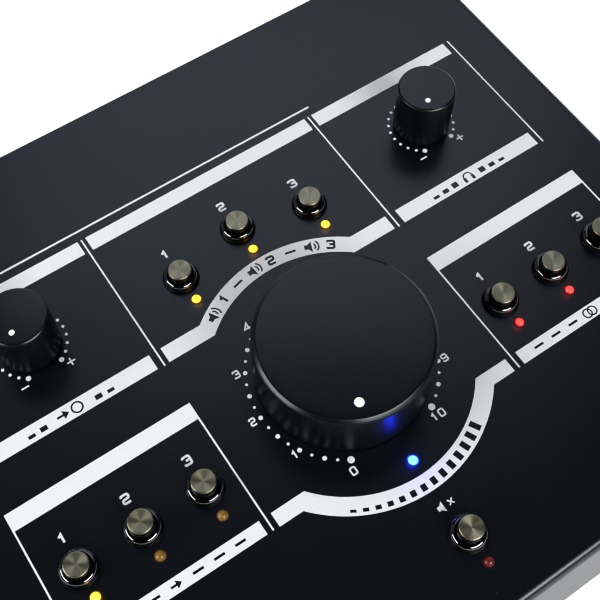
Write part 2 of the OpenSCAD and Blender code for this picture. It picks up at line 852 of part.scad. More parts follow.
top_cover();
base_tray();
rear_panel();
rubber_feet();
foot_screws();
case_screws();
main_board();
board_standoffs();
board_screws();
control_board();
control_spacers();
ribbon_cable();
master_pot();
level_pots();
pot_nuts();
switch_bodies();
button_collars();
speaker_lamps();
mix_lamps();
input_lamps();
power_lamp();
combi_sockets();
output_sockets();
line_sockets();
socket_nuts();
headphone_socket();
aux_socket();
dc_inlet();
power_switch();
power_button();
master_knob();
master_marker();
master_shaft();
level_knob(0);  // aux_knob
level_marker(0);  // aux_marker
level_shaft(0);  // aux_shaft
level_knob(1);  // headphone_knob
level_marker(1);  // headphone_marker
level_shaft(1);  // headphone_shaft
button_cap(0);  // cap_speaker_1
button_cap(1);  // cap_speaker_2
button_cap(2);  // cap_speaker_3
button_cap(3);  // cap_mix_1
button_cap(4);  // cap_mix_2
button_cap(5);  // cap_mix_3
button_cap(6);  // cap_input_1
button_cap(7);  // cap_input_2
button_cap(8);  // cap_input_3
button_cap(9);  // cap_mute
button_disc(0);  // disc_speaker_1
button_disc(1);  // disc_speaker_2
button_disc(2);  // disc_speaker_3
button_disc(3);  // disc_mix_1
button_disc(4);  // disc_mix_2
button_disc(5);  // disc_mix_3
button_disc(6);  // disc_input_1
button_disc(7);  // disc_input_2
button_disc(8);  // disc_input_3
button_disc(9);  // disc_mute
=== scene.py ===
# %% [markdown]
# # A studio monitor controller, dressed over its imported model
# The real thing is a wedge of folded steel, powder coated almost black, with white screen print,
# three knobs, ten glossy push buttons and small round lamps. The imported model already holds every
# piece at its true size, so this notebook adds finishes, fine turned meshes and the print.

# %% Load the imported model
import json
import math

import bmesh
import bpy
from mathutils import Matrix, Vector
from mathutils.geometry import delaunay_2d_cdt


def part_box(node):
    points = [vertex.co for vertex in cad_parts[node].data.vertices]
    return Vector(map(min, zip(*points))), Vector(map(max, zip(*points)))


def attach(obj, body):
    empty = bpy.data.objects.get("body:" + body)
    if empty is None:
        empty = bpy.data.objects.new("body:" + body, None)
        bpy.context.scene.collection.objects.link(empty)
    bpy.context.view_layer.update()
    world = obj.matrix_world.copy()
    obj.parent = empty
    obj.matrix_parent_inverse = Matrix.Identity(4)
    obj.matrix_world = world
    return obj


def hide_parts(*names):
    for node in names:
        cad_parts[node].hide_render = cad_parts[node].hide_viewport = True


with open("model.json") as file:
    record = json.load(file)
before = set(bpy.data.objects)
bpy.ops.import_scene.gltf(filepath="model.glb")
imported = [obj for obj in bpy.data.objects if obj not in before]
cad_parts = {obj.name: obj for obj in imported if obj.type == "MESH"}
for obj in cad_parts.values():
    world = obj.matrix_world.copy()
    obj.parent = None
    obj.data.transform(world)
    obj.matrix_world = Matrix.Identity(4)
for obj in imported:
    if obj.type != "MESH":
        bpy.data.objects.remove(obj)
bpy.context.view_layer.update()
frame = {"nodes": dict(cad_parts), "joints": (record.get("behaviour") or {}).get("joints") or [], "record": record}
MM = 0.001

# %% [markdown]
# ## The panel's own frame
# Everything that shows best sits on the sloping panel. The volume knob's joint gives a point on
# the panel and the direction out of it, so one matrix carries flat panel drawings, in millimetres
# from the knob's centre, up onto the slope. Reading it from the joint keeps the two in step.

# %% Panel matrix
dial_joint = next(j for j in frame["joints"] if j["name"] == "volume_turn")
out_of_panel = Vector(dial_joint["axis"])
across = Vector((1, 0, 0))
up_slope = out_of_panel.cross(across)
PANEL = Matrix((across, up_slope, out_of_panel)).transposed().to_4x4()
PANEL.translation = Vector(dial_joint["pos_m"])
PANEL_BACK = PANEL.inverted()


def on_panel(x, y, z=0):
    """The place of a piece that stands on the panel."""
    return PANEL @ Matrix.Translation(Vector((x, y, z)) * MM)


print("dial centre in mm:", [round(v / MM, 2) for v in on_panel(0, 0).translation])

# %% [markdown]
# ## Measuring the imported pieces
# Each dressed piece is fitted to a packed one, so its place and size are measured and not typed
# again. Most nodes are one solid, but some, such as the ten collars, hold several. Those are told
# apart by walking from corner to corner along the edges until no neighbour is left.

# %% Boxes and separate solids
WELD = 0.001


def box_of(points):
    """Lowest and highest corner of some points."""
    return (Vector([min(p[i] for p in points) for i in range(3)]),
            Vector([max(p[i] for p in points) for i in range(3)]))


def panel_box(node):
    """A node's corners in panel millimetres."""
    vertices = frame["nodes"][node].data.vertices
    return box_of([PANEL_BACK @ v.co / MM for v in vertices])


def solids_of(node, matrix=PANEL_BACK):
    """The box of each separate solid in a node, in millimetres of the given frame."""
    mesh = bmesh.new()
    mesh.from_mesh(frame["nodes"][node].data)
    bmesh.ops.remove_doubles(mesh, verts=mesh.verts, dist=WELD * MM)
    left, found = set(mesh.verts), []
    while left:
        grown, edge = set(), [left.pop()]
        while edge:
            vertex = edge.pop()
            grown.add(vertex)
            near = {e.other_vert(vertex) for e in vertex.link_edges} & left
            left -= near
            edge += near
        found.append(box_of([matrix @ v.co / MM for v in grown]))
    mesh.free()
    return sorted(found, key=lambda b: (round(b[0].x), round(b[0].y)))


def middle(box):
    """The centre of a box on the panel."""
    return (box[0].x + box[1].x) / 2, (box[0].y + box[1].y) / 2


print("volume knob on the panel:", [round(v, 2) for v in panel_box("master_knob")[1]])

# %% [markdown]
# ## The camera
# The photograph looks down on the panel from the front left, quite close, with a little roll.
# The viewpoint was found once from the printed ring and lines, and is held here as a place, an
# aim and an up direction in the panel's frame. The pixel filter is a little narrower than the
# default, because the fine print is crisp in the photograph.

# %% Camera
camera_at = Vector((-70.7, -83.4, 248.2))
camera_aim = Vector((1.95, 22.8, 0))
camera_up = Vector((0.4957, 0.7365, 0.4602))
camera_lens = 61.2
NEAR_CLIP = 0.01
PIXEL_FILTER = 1.1

back = (camera_at - camera_aim).normalized()
right = camera_up.cross(back).normalized()
view_axes = Matrix((right, back.cross(right), back)).transposed().to_4x4()
camera = bpy.data.objects.new("camera", bpy.data.cameras.new("camera"))
bpy.context.scene.collection.objects.link(camera)
camera.data.lens = camera_lens
camera.data.clip_start = NEAR_CLIP
camera.matrix_world = on_panel(*camera_at) @ view_axes
bpy.context.scene.camera = camera
bpy.context.scene.view_settings.view_transform = "Standard"
bpy.context.scene.cycles.filter_width = PIXEL_FILTER
print("camera:", round((camera_at - camera_aim).length), "mm from its aim, lens", camera_lens)

# %% [markdown]
# ## Shader groups
# Real finishes are never even: powder coat has a fine orange peel, moulded parts a faint grain,
# turned metal shows rings, and edges wear first. Each such effect is one node group with named
# inputs, so that every material can ask for its own amount. A group gives out tones, masks and
# heights alone. The shader stays in the material, where its constants are easy to find.

# %% Small helpers for node trees
def node(tree, kind, inputs=None, **settings):
    """Adds a shader node, sets it, and fills its inputs with values or links."""
    made = tree.nodes.new("ShaderNode" + kind)
    for name, value in settings.items():
        setattr(made, name, value)
    for name, value in (inputs or {}).items():
        if isinstance(value, bpy.types.NodeSocket):
            tree.links.new(value, made.inputs[name])
        else:
            made.inputs[name].default_value = value
    return made


def feed(tree, made, **sockets):
    """Links values into a node's inputs. An underscore stands for a space in a name."""
    for label, value in sockets.items():
        tree.links.new(value, made.inputs[label.replace("_", " ")])


def maths(tree, operation, *values):
    """A Math node's result."""
    return node(tree, "Math", dict(enumerate(values)), operation=operation).outputs[0]


def spread(tree, value, old, new=(0.0, 1.0)):
    """A value carried smoothly from an old range to a new one."""
    ranged = {"From Min": old[0], "From Max": old[1], "To Min": new[0], "To Max": new[1]}
    return node(tree, "MapRange", {"Value": value, **ranged},
                interpolation_type="SMOOTHSTEP").outputs["Result"]


def swing(tree, value, amount):
    """How far a value between 0 and 1 strays from its middle, times an amount."""
    return maths(tree, "MULTIPLY", maths(tree, "SUBTRACT", value, 0.5), amount)


def try_out(helper, *values):
    """Prints how many nodes a helper takes in an empty tree."""
    scratch = bpy.data.node_groups.new("scratch", "ShaderNodeTree")
    helper(scratch, *values)
    print(helper.__name__, "takes", len(scratch.nodes), "nodes")
    bpy.data.node_groups.remove(scratch)


try_out(swing, 0.7, 2.0)

# %% Places, directions and noise
def own_place(tree):
    """The piece's own coordinates, in metres."""
    return node(tree, "TexCoord").outputs["Object"]


def along(tree, vector, axis):
    """One part of a vector."""
    return node(tree, "SeparateXYZ", {"Vector": vector}).outputs[axis]


def length_of(tree, vector):
    """A vector's length."""
    return node(tree, "VectorMath", {0: vector}, operation="LENGTH").outputs["Value"]


def off_axis(tree):
    """Distance from the piece's own Z axis, in metres."""
    place = own_place(tree)
    flat = {"X": along(tree, place, "X"), "Y": along(tree, place, "Y")}
    return length_of(tree, node(tree, "CombineXYZ", flat).outputs[0])


def noise(tree, scale, detail=2.0, rough=0.5):
    """Noise over the piece's own coordinates, scale in waves per metre."""
    return node(tree, "TexNoise", {"Vector": own_place(tree), "Scale": scale, "Detail": detail,
                                   "Roughness": rough}).outputs["Fac"]


def line_noise(tree, place, detail):
    """Noise in one dimension."""
    return node(tree, "TexNoise", {"W": place, "Scale": 1.0, "Detail": detail},
                noise_dimensions="1D").outputs["Fac"]


def cells(tree, scale):
    """Distance to the nearest of many scattered points, scale in cells per metre."""
    return node(tree, "TexVoronoi", {"Vector": own_place(tree), "Scale": scale}).outputs["Distance"]


try_out(off_axis)
try_out(noise, 100.0)

# %% A new group, and a look at its sockets
def new_group(name, inputs, outputs):
    """An empty shader group: inputs map a name to a default, outputs a name to a socket type."""
    tree = bpy.data.node_groups.new(name, "ShaderNodeTree")
    for label, value in inputs.items():
        socket = tree.interface.new_socket(label, in_out="INPUT", socket_type="NodeSocketFloat")
        socket.default_value = value
    for label, kind in outputs.items():
        tree.interface.new_socket(label, in_out="OUTPUT", socket_type="NodeSocket" + kind)
    return tree, tree.nodes.new("NodeGroupInput").outputs, tree.nodes.new("NodeGroupOutput")


def show_sockets(group):
    """Prints what a group asks for and what it gives."""
    sockets = group.interface.items_tree
    print(group.name, "asks", [s.name for s in sockets if s.in_out == "INPUT"],
          "gives", [s.name for s in sockets if s.in_out == "OUTPUT"])


# %% [markdown]
# ### Powder coat
# The steel is sprayed with a dry powder that melts in an oven. It flows out almost flat and leaves
# a shallow orange peel, about half a millimetre across, with a slow drift of tone. A picture could
# carry that, but noise in the piece's own coordinates needs no unwrapping and runs on over folds.

# %% Powder coat: orange peel, slow tone drift and a fine change of gloss
FINER_BY = 2.7
DRIFT_PER_METRE = 38.0


def build_powder_coat():
    tree, given, out = new_group(
        "powder_coat", {"Peel per metre": 1500.0, "Tone drift": 0.1, "Gloss drift": 0.06},
        {"Tone": "Float", "Roughness shift": "Float", "Height": "Float"})
    peel = noise(tree, given["Peel per metre"], detail=1.5, rough=0.45)
    fine = noise(tree, maths(tree, "MULTIPLY", given["Peel per metre"], FINER_BY), detail=1.0)
    drift = noise(tree, DRIFT_PER_METRE, detail=3.0, rough=0.6)
    both = maths(tree, "ADD", swing(tree, drift, given["Tone drift"]),
                 swing(tree, peel, given["Tone drift"]))
    feed(tree, out, Tone=maths(tree, "ADD", 1.0, both),
         Roughness_shift=swing(tree, fine, given["Gloss drift"]),
         Height=maths(tree, "ADD", peel, maths(tree, "MULTIPLY", fine, 0.35)))
    return tree


powder_coat = build_powder_coat()
show_sockets(powder_coat)

# %% [markdown]
# ### Moulded grain
# Plastic and rubber copy the face of their mould, which spark erosion leaves as tiny rounded pits.
# A cell texture gives such pits directly, where plain noise gives hills of many sizes. A slow
# cloud keeps the colour from being the same all over.

# %% Moulded grain
CLOUDS_PER_METRE = 90.0


def build_moulded_grain():
    tree, given, out = new_group(
        "moulded_grain", {"Grains per metre": 4000.0, "Contrast": 0.1},
        {"Tone": "Float", "Height": "Float"})
    cloud = noise(tree, CLOUDS_PER_METRE, detail=3.0)
    feed(tree, out, Tone=maths(tree, "ADD", 1.0, swing(tree, cloud, given["Contrast"])),
         Height=cells(tree, given["Grains per metre"]))
    return tree


moulded_grain = build_moulded_grain()
show_sockets(moulded_grain)

# %% [markdown]
# ### Turned rings
# A lathe tool leaves fine circles round the axis. Their height depends on the distance from the
# axis alone, so noise in one dimension, run out along that distance, is enough. A wave texture
# would space the rings too evenly for real work.

# %% Turned rings: fine circles round a piece's own Z axis
def build_turned_rings():
    tree, given, out = new_group(
        "turned_rings", {"Rings per metre": 9000.0, "Contrast": 0.2},
        {"Tone": "Float", "Height": "Float"})
    outward = maths(tree, "MULTIPLY", off_axis(tree), given["Rings per metre"])
    rings = line_noise(tree, outward, detail=2.0)
    feed(tree, out, Tone=maths(tree, "ADD", 1.0, swing(tree, rings, given["Contrast"])),
         Height=rings)
    return tree


turned_rings = build_turned_rings()
show_sockets(turned_rings)

# %% [markdown]
# ### Edge wear
# Hands and cloths polish the edges first. The Bevel node gives the normal that a rounded edge
# would have, and where it parts from the true normal there is an edge. A mask painted by hand
# would have to be painted again after each change to the shape.

# %% Edge wear: patchy, and only where the two normals part
EDGE_SAME, EDGE_APART = 0.985, 0.9
PATCHES_PER_METRE = 420.0


def build_edge_wear():
    tree, given, out = new_group(
        "edge_wear", {"Width": 0.0005, "Amount": 0.5}, {"Mask": "Float"})
    rounded = node(tree, "Bevel", {"Radius": given["Width"]}, samples=4).outputs["Normal"]
    true = node(tree, "NewGeometry").outputs["Normal"]
    same = node(tree, "VectorMath", {0: rounded, 1: true}, operation="DOT_PRODUCT").outputs["Value"]
    edge = spread(tree, same, (EDGE_SAME, EDGE_APART))
    patches = noise(tree, PATCHES_PER_METRE, detail=4.0, rough=0.65)
    patchy = spread(tree, patches, (0.35, 0.65), (0.2, 1.0))
    feed(tree, out, Mask=maths(tree, "MULTIPLY", maths(tree, "MULTIPLY", edge, patchy),
                               given["Amount"]))
    return tree


edge_wear = build_edge_wear()
show_sockets(edge_wear)

# %% [markdown]
# ### Dust
# Even a clean unit carries a thin film and a few specks on the faces that look up. The height of
# the normal picks those faces out, and noise breaks the film up, so that it never looks like a
# wash of grey.

# %% Dust: a pale film and a few specks, only on faces that look up
FILM_PER_METRE, SPECKS_PER_METRE = 60.0, 160.0


def build_dust():
    tree, given, out = new_group("dust", {"Film": 0.02, "Specks": 0.3}, {"Mask": "Float"})
    upward = along(tree, node(tree, "NewGeometry").outputs["Normal"], "Z")
    patches = noise(tree, FILM_PER_METRE, detail=4.0, rough=0.7)
    film = maths(tree, "MULTIPLY", spread(tree, patches, (0.3, 0.7), (0.3, 1.0)), given["Film"])
    specks = maths(tree, "MULTIPLY", spread(tree, cells(tree, SPECKS_PER_METRE), (0.035, 0.015)),
                   given["Specks"])
    feed(tree, out, Mask=maths(tree, "MULTIPLY", maths(tree, "MAXIMUM", film, specks),
                               spread(tree, upward, (0.3, 0.95))))
    return tree


dust = build_dust()
show_sockets(dust)

# %% [markdown]
# ## Materials
# Each finish of the real unit is one material. Colours are written as they look under plain light,
# in display values from 0 to 255, and one function turns them into linear ones. A number that is
# the same all over a surface is set on the shader's own socket, and only what changes over the
# surface comes in through a link.

# %% Material helpers
finishes = {}


def colour(red, green, blue):
    """A display colour as linear RGBA."""
    def linear(v):
        v /= 255
        return v / 12.92 if v <= 0.04045 else ((v + 0.055) / 1.055) ** 2.4
    return (linear(red), linear(green), linear(blue), 1.0)


def new_material(name, **fixed):
    """A material with one Principled shader, its constants set directly on the sockets."""
    made = bpy.data.materials.new(name)
    made.use_nodes = True
    shader = made.node_tree.nodes["Principled BSDF"]
    for label, value in fixed.items():
        shader.inputs[label.replace("_", " ")].default_value = value
    finishes[name] = made
    return made.node_tree, shader


def place_group(tree, group, **values):
    """A group node in a material, with its own values."""
    made = node(tree, "Group", node_tree=group)
    for label, value in values.items():
        made.inputs[label.replace("_", " ")].default_value = value
    return made.outputs


def count_nodes(*names):
    """Prints how many nodes each finish took."""
    print({name: len(finishes[name].node_tree.nodes) for name in names})


print("mid grey is", round(colour(128, 128, 128)[0], 3), "in linear light")

# %% Layers of colour, height, and faces that look up
DUST_SHADE = (150, 146, 140)


def tint(tree, base, tone):
    """A colour made lighter or darker by a value."""
    grey = node(tree, "CombineColor", {"Red": tone, "Green": tone, "Blue": tone}).outputs[0]
    return node(tree, "Mix", {6: base, 7: grey, 0: 1.0}, data_type="RGBA",
                blend_type="MULTIPLY").outputs[2]


def blend_in(tree, base, over, mask):
    """A second colour laid over the first where the mask says."""
    return node(tree, "Mix", {6: base, 7: over, 0: mask}, data_type="RGBA").outputs[2]


def part_way(tree, start, end, share):
    """A value between two others."""
    return node(tree, "Mix", {0: share, 2: start, 3: end}).outputs[0]


def worn(tree, base, shade, width, amount):
    """A colour that gives way to another along the edges."""
    mask = place_group(tree, edge_wear, Width=width, Amount=amount)["Mask"]
    return blend_in(tree, base, colour(*shade), mask)


def dusted(tree, base, film, specks):
    """A colour with dust on the faces that look up."""
    mask = place_group(tree, dust, Film=film, Specks=specks)["Mask"]
    return blend_in(tree, base, colour(*DUST_SHADE), mask)


def bump(tree, shader, height, depth):
    """Raises the surface by a height map, depth in metres."""
    made = node(tree, "Bump", {"Height": height, "Distance": depth, "Strength": 1.0})
    feed(tree, shader, Normal=made.outputs["Normal"])


def top_mask(tree, low, high):
    """A mask of the faces that look along the piece's own Z axis."""
    return spread(tree, along(tree, node(tree, "TexCoord").outputs["Normal"], "Z"), (low, high))


try_out(tint, colour(*DUST_SHADE), 0.5)
try_out(dusted, colour(*DUST_SHADE), 0.01, 0.1)

# %% [markdown]
# ### Case paint
# The coat is blue-black with a satin gloss. Its own colour is written very dark, because most of
# the grey that the eye sees on it is the room's reflection. Wear and dust are laid into the colour
# alone, so that the gloss stays the coat's own.

# %% Powder-coated steel: the cover, the base and the rear panel
COAT_PEEL = 1900.0


def make_case_paint():
    tree, shader = new_material("case_paint", Specular_IOR_Level=0.5)
    coat = place_group(tree, powder_coat, Peel_per_metre=COAT_PEEL, Tone_drift=0.16,
                       Gloss_drift=0.1)
    paint = tint(tree, colour(3, 6, 12), coat["Tone"])
    paint = worn(tree, paint, (60, 61, 66), width=0.0004, amount=0.35)
    feed(tree, shader, Base_Color=dusted(tree, paint, film=0.002, specks=0.12),
         Roughness=maths(tree, "ADD", 0.27, coat["Roughness shift"]))
    bump(tree, shader, coat["Height"], depth=7e-6)


make_case_paint()
count_nodes("case_paint")

# %% [markdown]
# ### Print ink
# The print is a matt white ink, pressed through a fine mesh onto the coat. It is so thin that the
# orange peel shows through, so the ink borrows the coat's group at the same scale.

# %% Screen print ink
def make_print_ink():
    tree, shader = new_material("print_ink", Specular_IOR_Level=0.35)
    coat = place_group(tree, powder_coat, Peel_per_metre=COAT_PEEL, Tone_drift=0.05,
                       Gloss_drift=0.1)
    feed(tree, shader, Base_Color=tint(tree, colour(221, 223, 222), coat["Tone"]),
         Roughness=maths(tree, "ADD", 0.5, coat["Roughness shift"]))
    bump(tree, shader, coat["Height"], depth=9e-6)


make_print_ink()
count_nodes("print_ink")

# %% [markdown]
# ### Plastics and rubber
# Feet, sockets, boards and markers differ in colour, gloss and grain, and are alike in the rest.
# One function that takes those three keeps them alike, where a material made by hand for each
# would drift from the others with every change. A lamp that is off is tinted plastic too.

# %% Moulded pieces, from one recipe
SPECKS_TO_FILM = 6


def make_moulded(name, shade, rough, grains, depth, contrast=0.12, film=0.02, specular=0.5,
                 wear=0.0):
    tree, shader = new_material(name, Specular_IOR_Level=specular)
    grain = place_group(tree, moulded_grain, Grains_per_metre=grains, Contrast=contrast)
    base = tint(tree, colour(*shade), grain["Tone"])
    if wear:
        base = worn(tree, base, (90, 90, 92), width=0.0003, amount=wear)
    feed(tree, shader, Base_Color=dusted(tree, base, film, specks=film * SPECKS_TO_FILM),
         Roughness=maths(tree, "MULTIPLY", grain["Tone"], rough))
    bump(tree, shader, grain["Height"], depth)


make_moulded("rubber", (24, 24, 25), rough=0.75, grains=1800.0, depth=20e-6, film=0.05,
             specular=0.3)
make_moulded("board_green", (16, 66, 38), rough=0.4, grains=900.0, depth=4e-6)
make_moulded("ribbon_grey", (150, 150, 154), rough=0.5, grains=1200.0, depth=10e-6)
make_moulded("black_plastic", (26, 26, 28), rough=0.42, grains=2600.0, depth=12e-6, wear=0.3)
make_moulded("marker_white", (240, 238, 230), rough=0.4, grains=3000.0, depth=2e-6,
             contrast=0.04, film=0.005)
make_moulded("lamp_amber_off", (126, 92, 30), rough=0.25, grains=2000.0, depth=2e-6)
make_moulded("lamp_red_off", (92, 14, 14), rough=0.25, grains=2000.0, depth=2e-6)
count_nodes("rubber", "board_green", "ribbon_grey", "black_plastic", "marker_white")

# %% [markdown]
# ### Metals
# Nuts and screws are plated, and the cans of the pots are pressed from bare sheet. A metal has no
# colour below its shine, so its tint goes into the reflection and Metallic is 1. The coat's group
# at a larger scale gives the faint marks of rolling and handling.

# %% Plated and bare steel
def make_metal(name, shade, rough, wear):
    tree, shader = new_material(name, Metallic=1.0)
    marks = place_group(tree, powder_coat, Peel_per_metre=900.0, Tone_drift=0.2, Gloss_drift=0.25)
    base = tint(tree, colour(*shade), marks["Tone"])
    feed(tree, shader, Base_Color=worn(tree, base, (205, 203, 198), width=0.0002, amount=wear),
         Roughness=maths(tree, "ADD", rough, marks["Roughness shift"]))
    bump(tree, shader, marks["Height"], depth=2e-6)


make_metal("black_steel", (58, 58, 62), rough=0.38, wear=0.25)
make_metal("zinc_steel", (186, 186, 182), rough=0.27, wear=0.2)
make_metal("pot_metal", (150, 150, 152), rough=0.35, wear=0.3)
count_nodes("black_steel", "zinc_steel", "pot_metal")

# %% [markdown]
# ### Spun discs
# The disc in each button is faced on a lathe. Its rings are too fine to be seen one by one, but
# together they stretch each highlight into two opposite fans. Anisotropy with a radial tangent
# does that, where bump alone would only sparkle.

# %% Spun metal
def make_spun_metal():
    tree, shader = new_material("spun_metal", Metallic=1.0, Anisotropic=0.78,
                                Anisotropic_Rotation=0.25)
    rings = place_group(tree, turned_rings, Rings_per_metre=16000.0, Contrast=0.3)
    tangent = node(tree, "Tangent", direction_type="RADIAL", axis="Z").outputs[0]
    feed(tree, shader, Base_Color=tint(tree, colour(165, 162, 132), rings["Tone"]),
         Roughness=maths(tree, "ADD", 0.34, maths(tree, "MULTIPLY", rings["Height"], 0.12)),
         Tangent=tangent)
    bump(tree, shader, rings["Height"], depth=1.5e-6)


make_spun_metal()
count_nodes("spun_metal")

# %% [markdown]
# ### Collars and caps
# A collar is mirror-bright on its round lip and duller on the wall below. Two materials would meet
# in a hard line, so one material fades a clear coat in over the faces that look up. The cap inside
# it is black too, and only satin, which parts the two even where both are dark.

# %% Bright lip and satin cap
def make_gloss_black():
    tree, shader = new_material("gloss_black", Specular_IOR_Level=0.2, Coat_Roughness=0.04,
                                Coat_IOR=2.0)
    lip = top_mask(tree, low=0.3, high=0.55)
    polish = spread(tree, noise(tree, 500.0, detail=3.0), (0.3, 0.7), (0.04, 0.09))
    feed(tree, shader, Base_Color=dusted(tree, colour(2, 2, 2), film=0.003, specks=0.08),
         Roughness=part_way(tree, 0.4, polish, lip), Coat_Weight=lip)


def make_cap_black():
    tree, shader = new_material("cap_black", Specular_IOR_Level=0.22)
    polish = spread(tree, noise(tree, 700.0, detail=3.0), (0.3, 0.7), (0.24, 0.32))
    feed(tree, shader, Base_Color=dusted(tree, colour(5, 5, 5), film=0.003, specks=0.08),
         Roughness=polish)


make_gloss_black()
make_cap_black()
count_nodes("gloss_black", "cap_black")

# %% [markdown]
# ### Soft-touch knob
# The knob is lacquered: a smooth top with a soft sheen, and a side that wiping has left with faint
# upright streaks. Noise that runs round the axis by angle makes the streaks, and the same mask of
# faces that look up lays the sheen on the top alone.

# %% Soft-touch lacquer
STREAKS_PER_RADIAN = 26.0


def make_soft_touch():
    tree, shader = new_material("soft_touch", Specular_IOR_Level=0.15,
                                Specular_Tint=(0.86, 0.96, 1.0, 1.0), Coat_Roughness=0.26,
                                Coat_IOR=1.39)
    grain = place_group(tree, moulded_grain, Grains_per_metre=5200.0, Contrast=0.14)
    base = tint(tree, colour(3, 6, 8), grain["Tone"])
    place = own_place(tree)
    angle = maths(tree, "ARCTAN2", along(tree, place, "Y"), along(tree, place, "X"))
    streaks = line_noise(tree, maths(tree, "MULTIPLY", angle, STREAKS_PER_RADIAN), detail=3.0)
    side = maths(tree, "ADD", 0.39, maths(tree, "MULTIPLY", streaks, 0.05))
    top = top_mask(tree, low=0.5, high=0.9)
    feed(tree, shader, Base_Color=dusted(tree, base, film=0.002, specks=0.08),
         Roughness=part_way(tree, side, 0.26, top), Coat_Weight=top)
    bump(tree, shader, grain["Height"], depth=4e-6)


make_soft_touch()
count_nodes("soft_touch")

# %% [markdown]
# ### Lamps
# A lit diode is pale over its die, deeper in colour towards the rim, and dark at the very edge of
# the lens. One even glow would clip to a flat disc. So the colour runs out from the axis, and what
# the lamp throws on its neighbours is a plain light of its own colour, told apart by Light Path.

# %% Lit lenses
LIT = {"lamp_amber": (255, 190, 30), "lamp_red": (255, 40, 20), "lamp_blue": (24, 40, 255)}
LENS_R = 1.5
EDGE_SHARE = 0.22


def make_lamp(name, core, rim, strength=1.0, cast=1.0, rim_at=0.6):
    tree, shader = new_material(name, Roughness=0.18, Emission_Strength=strength)
    share = maths(tree, "DIVIDE", off_axis(tree), LENS_R * MM)
    glow = blend_in(tree, colour(*core), colour(*rim), spread(tree, share, (rim_at, rim_at + 0.2)))
    shell = colour(*(v * EDGE_SHARE for v in rim))
    glow = blend_in(tree, glow, shell, spread(tree, share, (rim_at + 0.14, 0.9 + rim_at / 20)))
    thrown = tuple(v * cast for v in colour(*LIT[name])[:3]) + (1.0,)
    light = blend_in(tree, thrown, glow, node(tree, "LightPath").outputs["Is Camera Ray"])
    feed(tree, shader, Base_Color=glow, Emission_Color=light)


make_lamp("lamp_amber", (252, 248, 60), (210, 120, 10), rim_at=0.7)
make_lamp("lamp_red", (255, 70, 60), (226, 20, 30))
make_lamp("lamp_blue", (110, 225, 255), (20, 90, 255), strength=1.4, cast=34.0, rim_at=0.7)
count_nodes("lamp_amber", "lamp_red", "lamp_blue")

# %% [markdown]
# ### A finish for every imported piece
# The record names a material slot for each node. Most nodes stay as they are packed, and get their
# finish here. Those that a finer mesh replaces later take theirs with the mesh.

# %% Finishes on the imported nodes
slot_of = {part["node"]: part["material_slot"] for part in frame["record"]["subparts"]}
for name, shape in frame["nodes"].items():
    for place in shape.material_slots:
        place.material = finishes[slot_of[name]]
print("materials:", len(finishes), "on", len(slot_of), "nodes")

# %% [markdown]
# ## Turned pieces
# Knobs, collars, caps and lenses are all bodies of revolution. A lathe function spins a half
# outline, given in millimetres as radius and height, about the piece's own Z axis. A Screw
# modifier could do the same, but mesh code gives the exact faces at once. A separate mesh with its
# own origin lets the turned rings and streaks run round the right axis.

# %% Arcs, and a piece that rides on a body
SMOOTH_UNDER = math.radians(32)


def arc(centre, radius, start, end, steps=8):
    """Points on a circle from one angle to another, in degrees."""
    angles = [math.radians(start + (end - start) * i / steps) for i in range(steps + 1)]
    return [(centre[0] + radius * math.cos(a), centre[1] + radius * math.sin(a)) for a in angles]


def new_piece(name, mesh_data, material, body, place):
    """Turns a finished bmesh into a piece that rides on a body."""
    data = bpy.data.meshes.new(name)
    bmesh.ops.recalc_face_normals(mesh_data, faces=mesh_data.faces)
    mesh_data.to_mesh(data)
    mesh_data.free()
    data.polygons.foreach_set("use_smooth", [True] * len(data.polygons))
    data.set_sharp_from_angle(angle=SMOOTH_UNDER)
    data.materials.append(finishes[material])
    piece = bpy.data.objects.new(name, data)
    bpy.context.scene.collection.objects.link(piece)
    piece.matrix_world = place
    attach(piece, body)
    return piece


print("a quarter arc has", len(arc((0, 0), 1, 0, 90)), "points")

# %% The lathe
ON_AXIS = 1e-6


def lathe(outline, segments, closed=False):
    """A bmesh spun from a half outline in millimetres. A closed outline is a ring's section."""
    mesh = bmesh.new()
    turns = [math.tau * i / segments for i in range(segments)]
    rings = []
    for radius, height in outline:
        if radius < ON_AXIS:
            rings.append([mesh.verts.new((0, 0, height * MM))] * segments)
            continue
        rings.append([mesh.verts.new((radius * math.cos(t) * MM, radius * math.sin(t) * MM,
                                      height * MM)) for t in turns])
    pairs = list(zip(rings, rings[1:]))
    if closed:
        pairs.append((rings[-1], rings[0]))
    for inner, outer in pairs:
        for i in range(segments):
            j = (i + 1) % segments
            face = list(dict.fromkeys([inner[i], outer[i], outer[j], inner[j]]))
            if len(face) > 2:
                mesh.faces.new(face)
    return mesh


sample = lathe([(0, 1), (1, 1), (1, 0), (0, 0)], 8)
print("a plain eight-sided drum has", len(sample.faces), "faces")
sample.free()

# %% [markdown]
# ## Knobs
# The big knob is a hollow drum: an outer skirt that hides the nut, and a hub that grips the shaft.
# Its top is slightly domed, and its rim is a facet between two small rounds, which draws one clean
# bright arc. A cylinder with a Bevel modifier would round both edges alike and be solid inside.

# %% The drum's half outline
RIM_TILT = 51
FACET_OUT, FACET_DOWN = 0.78, 0.63
HUB_R, BORE_R, HUB_FOOT, ROOF = 5.2, 3.1, 6.3, 3.0
BORE_END = 0.5
FOOT_BEVEL, SKIRT_RING = 0.25, 3


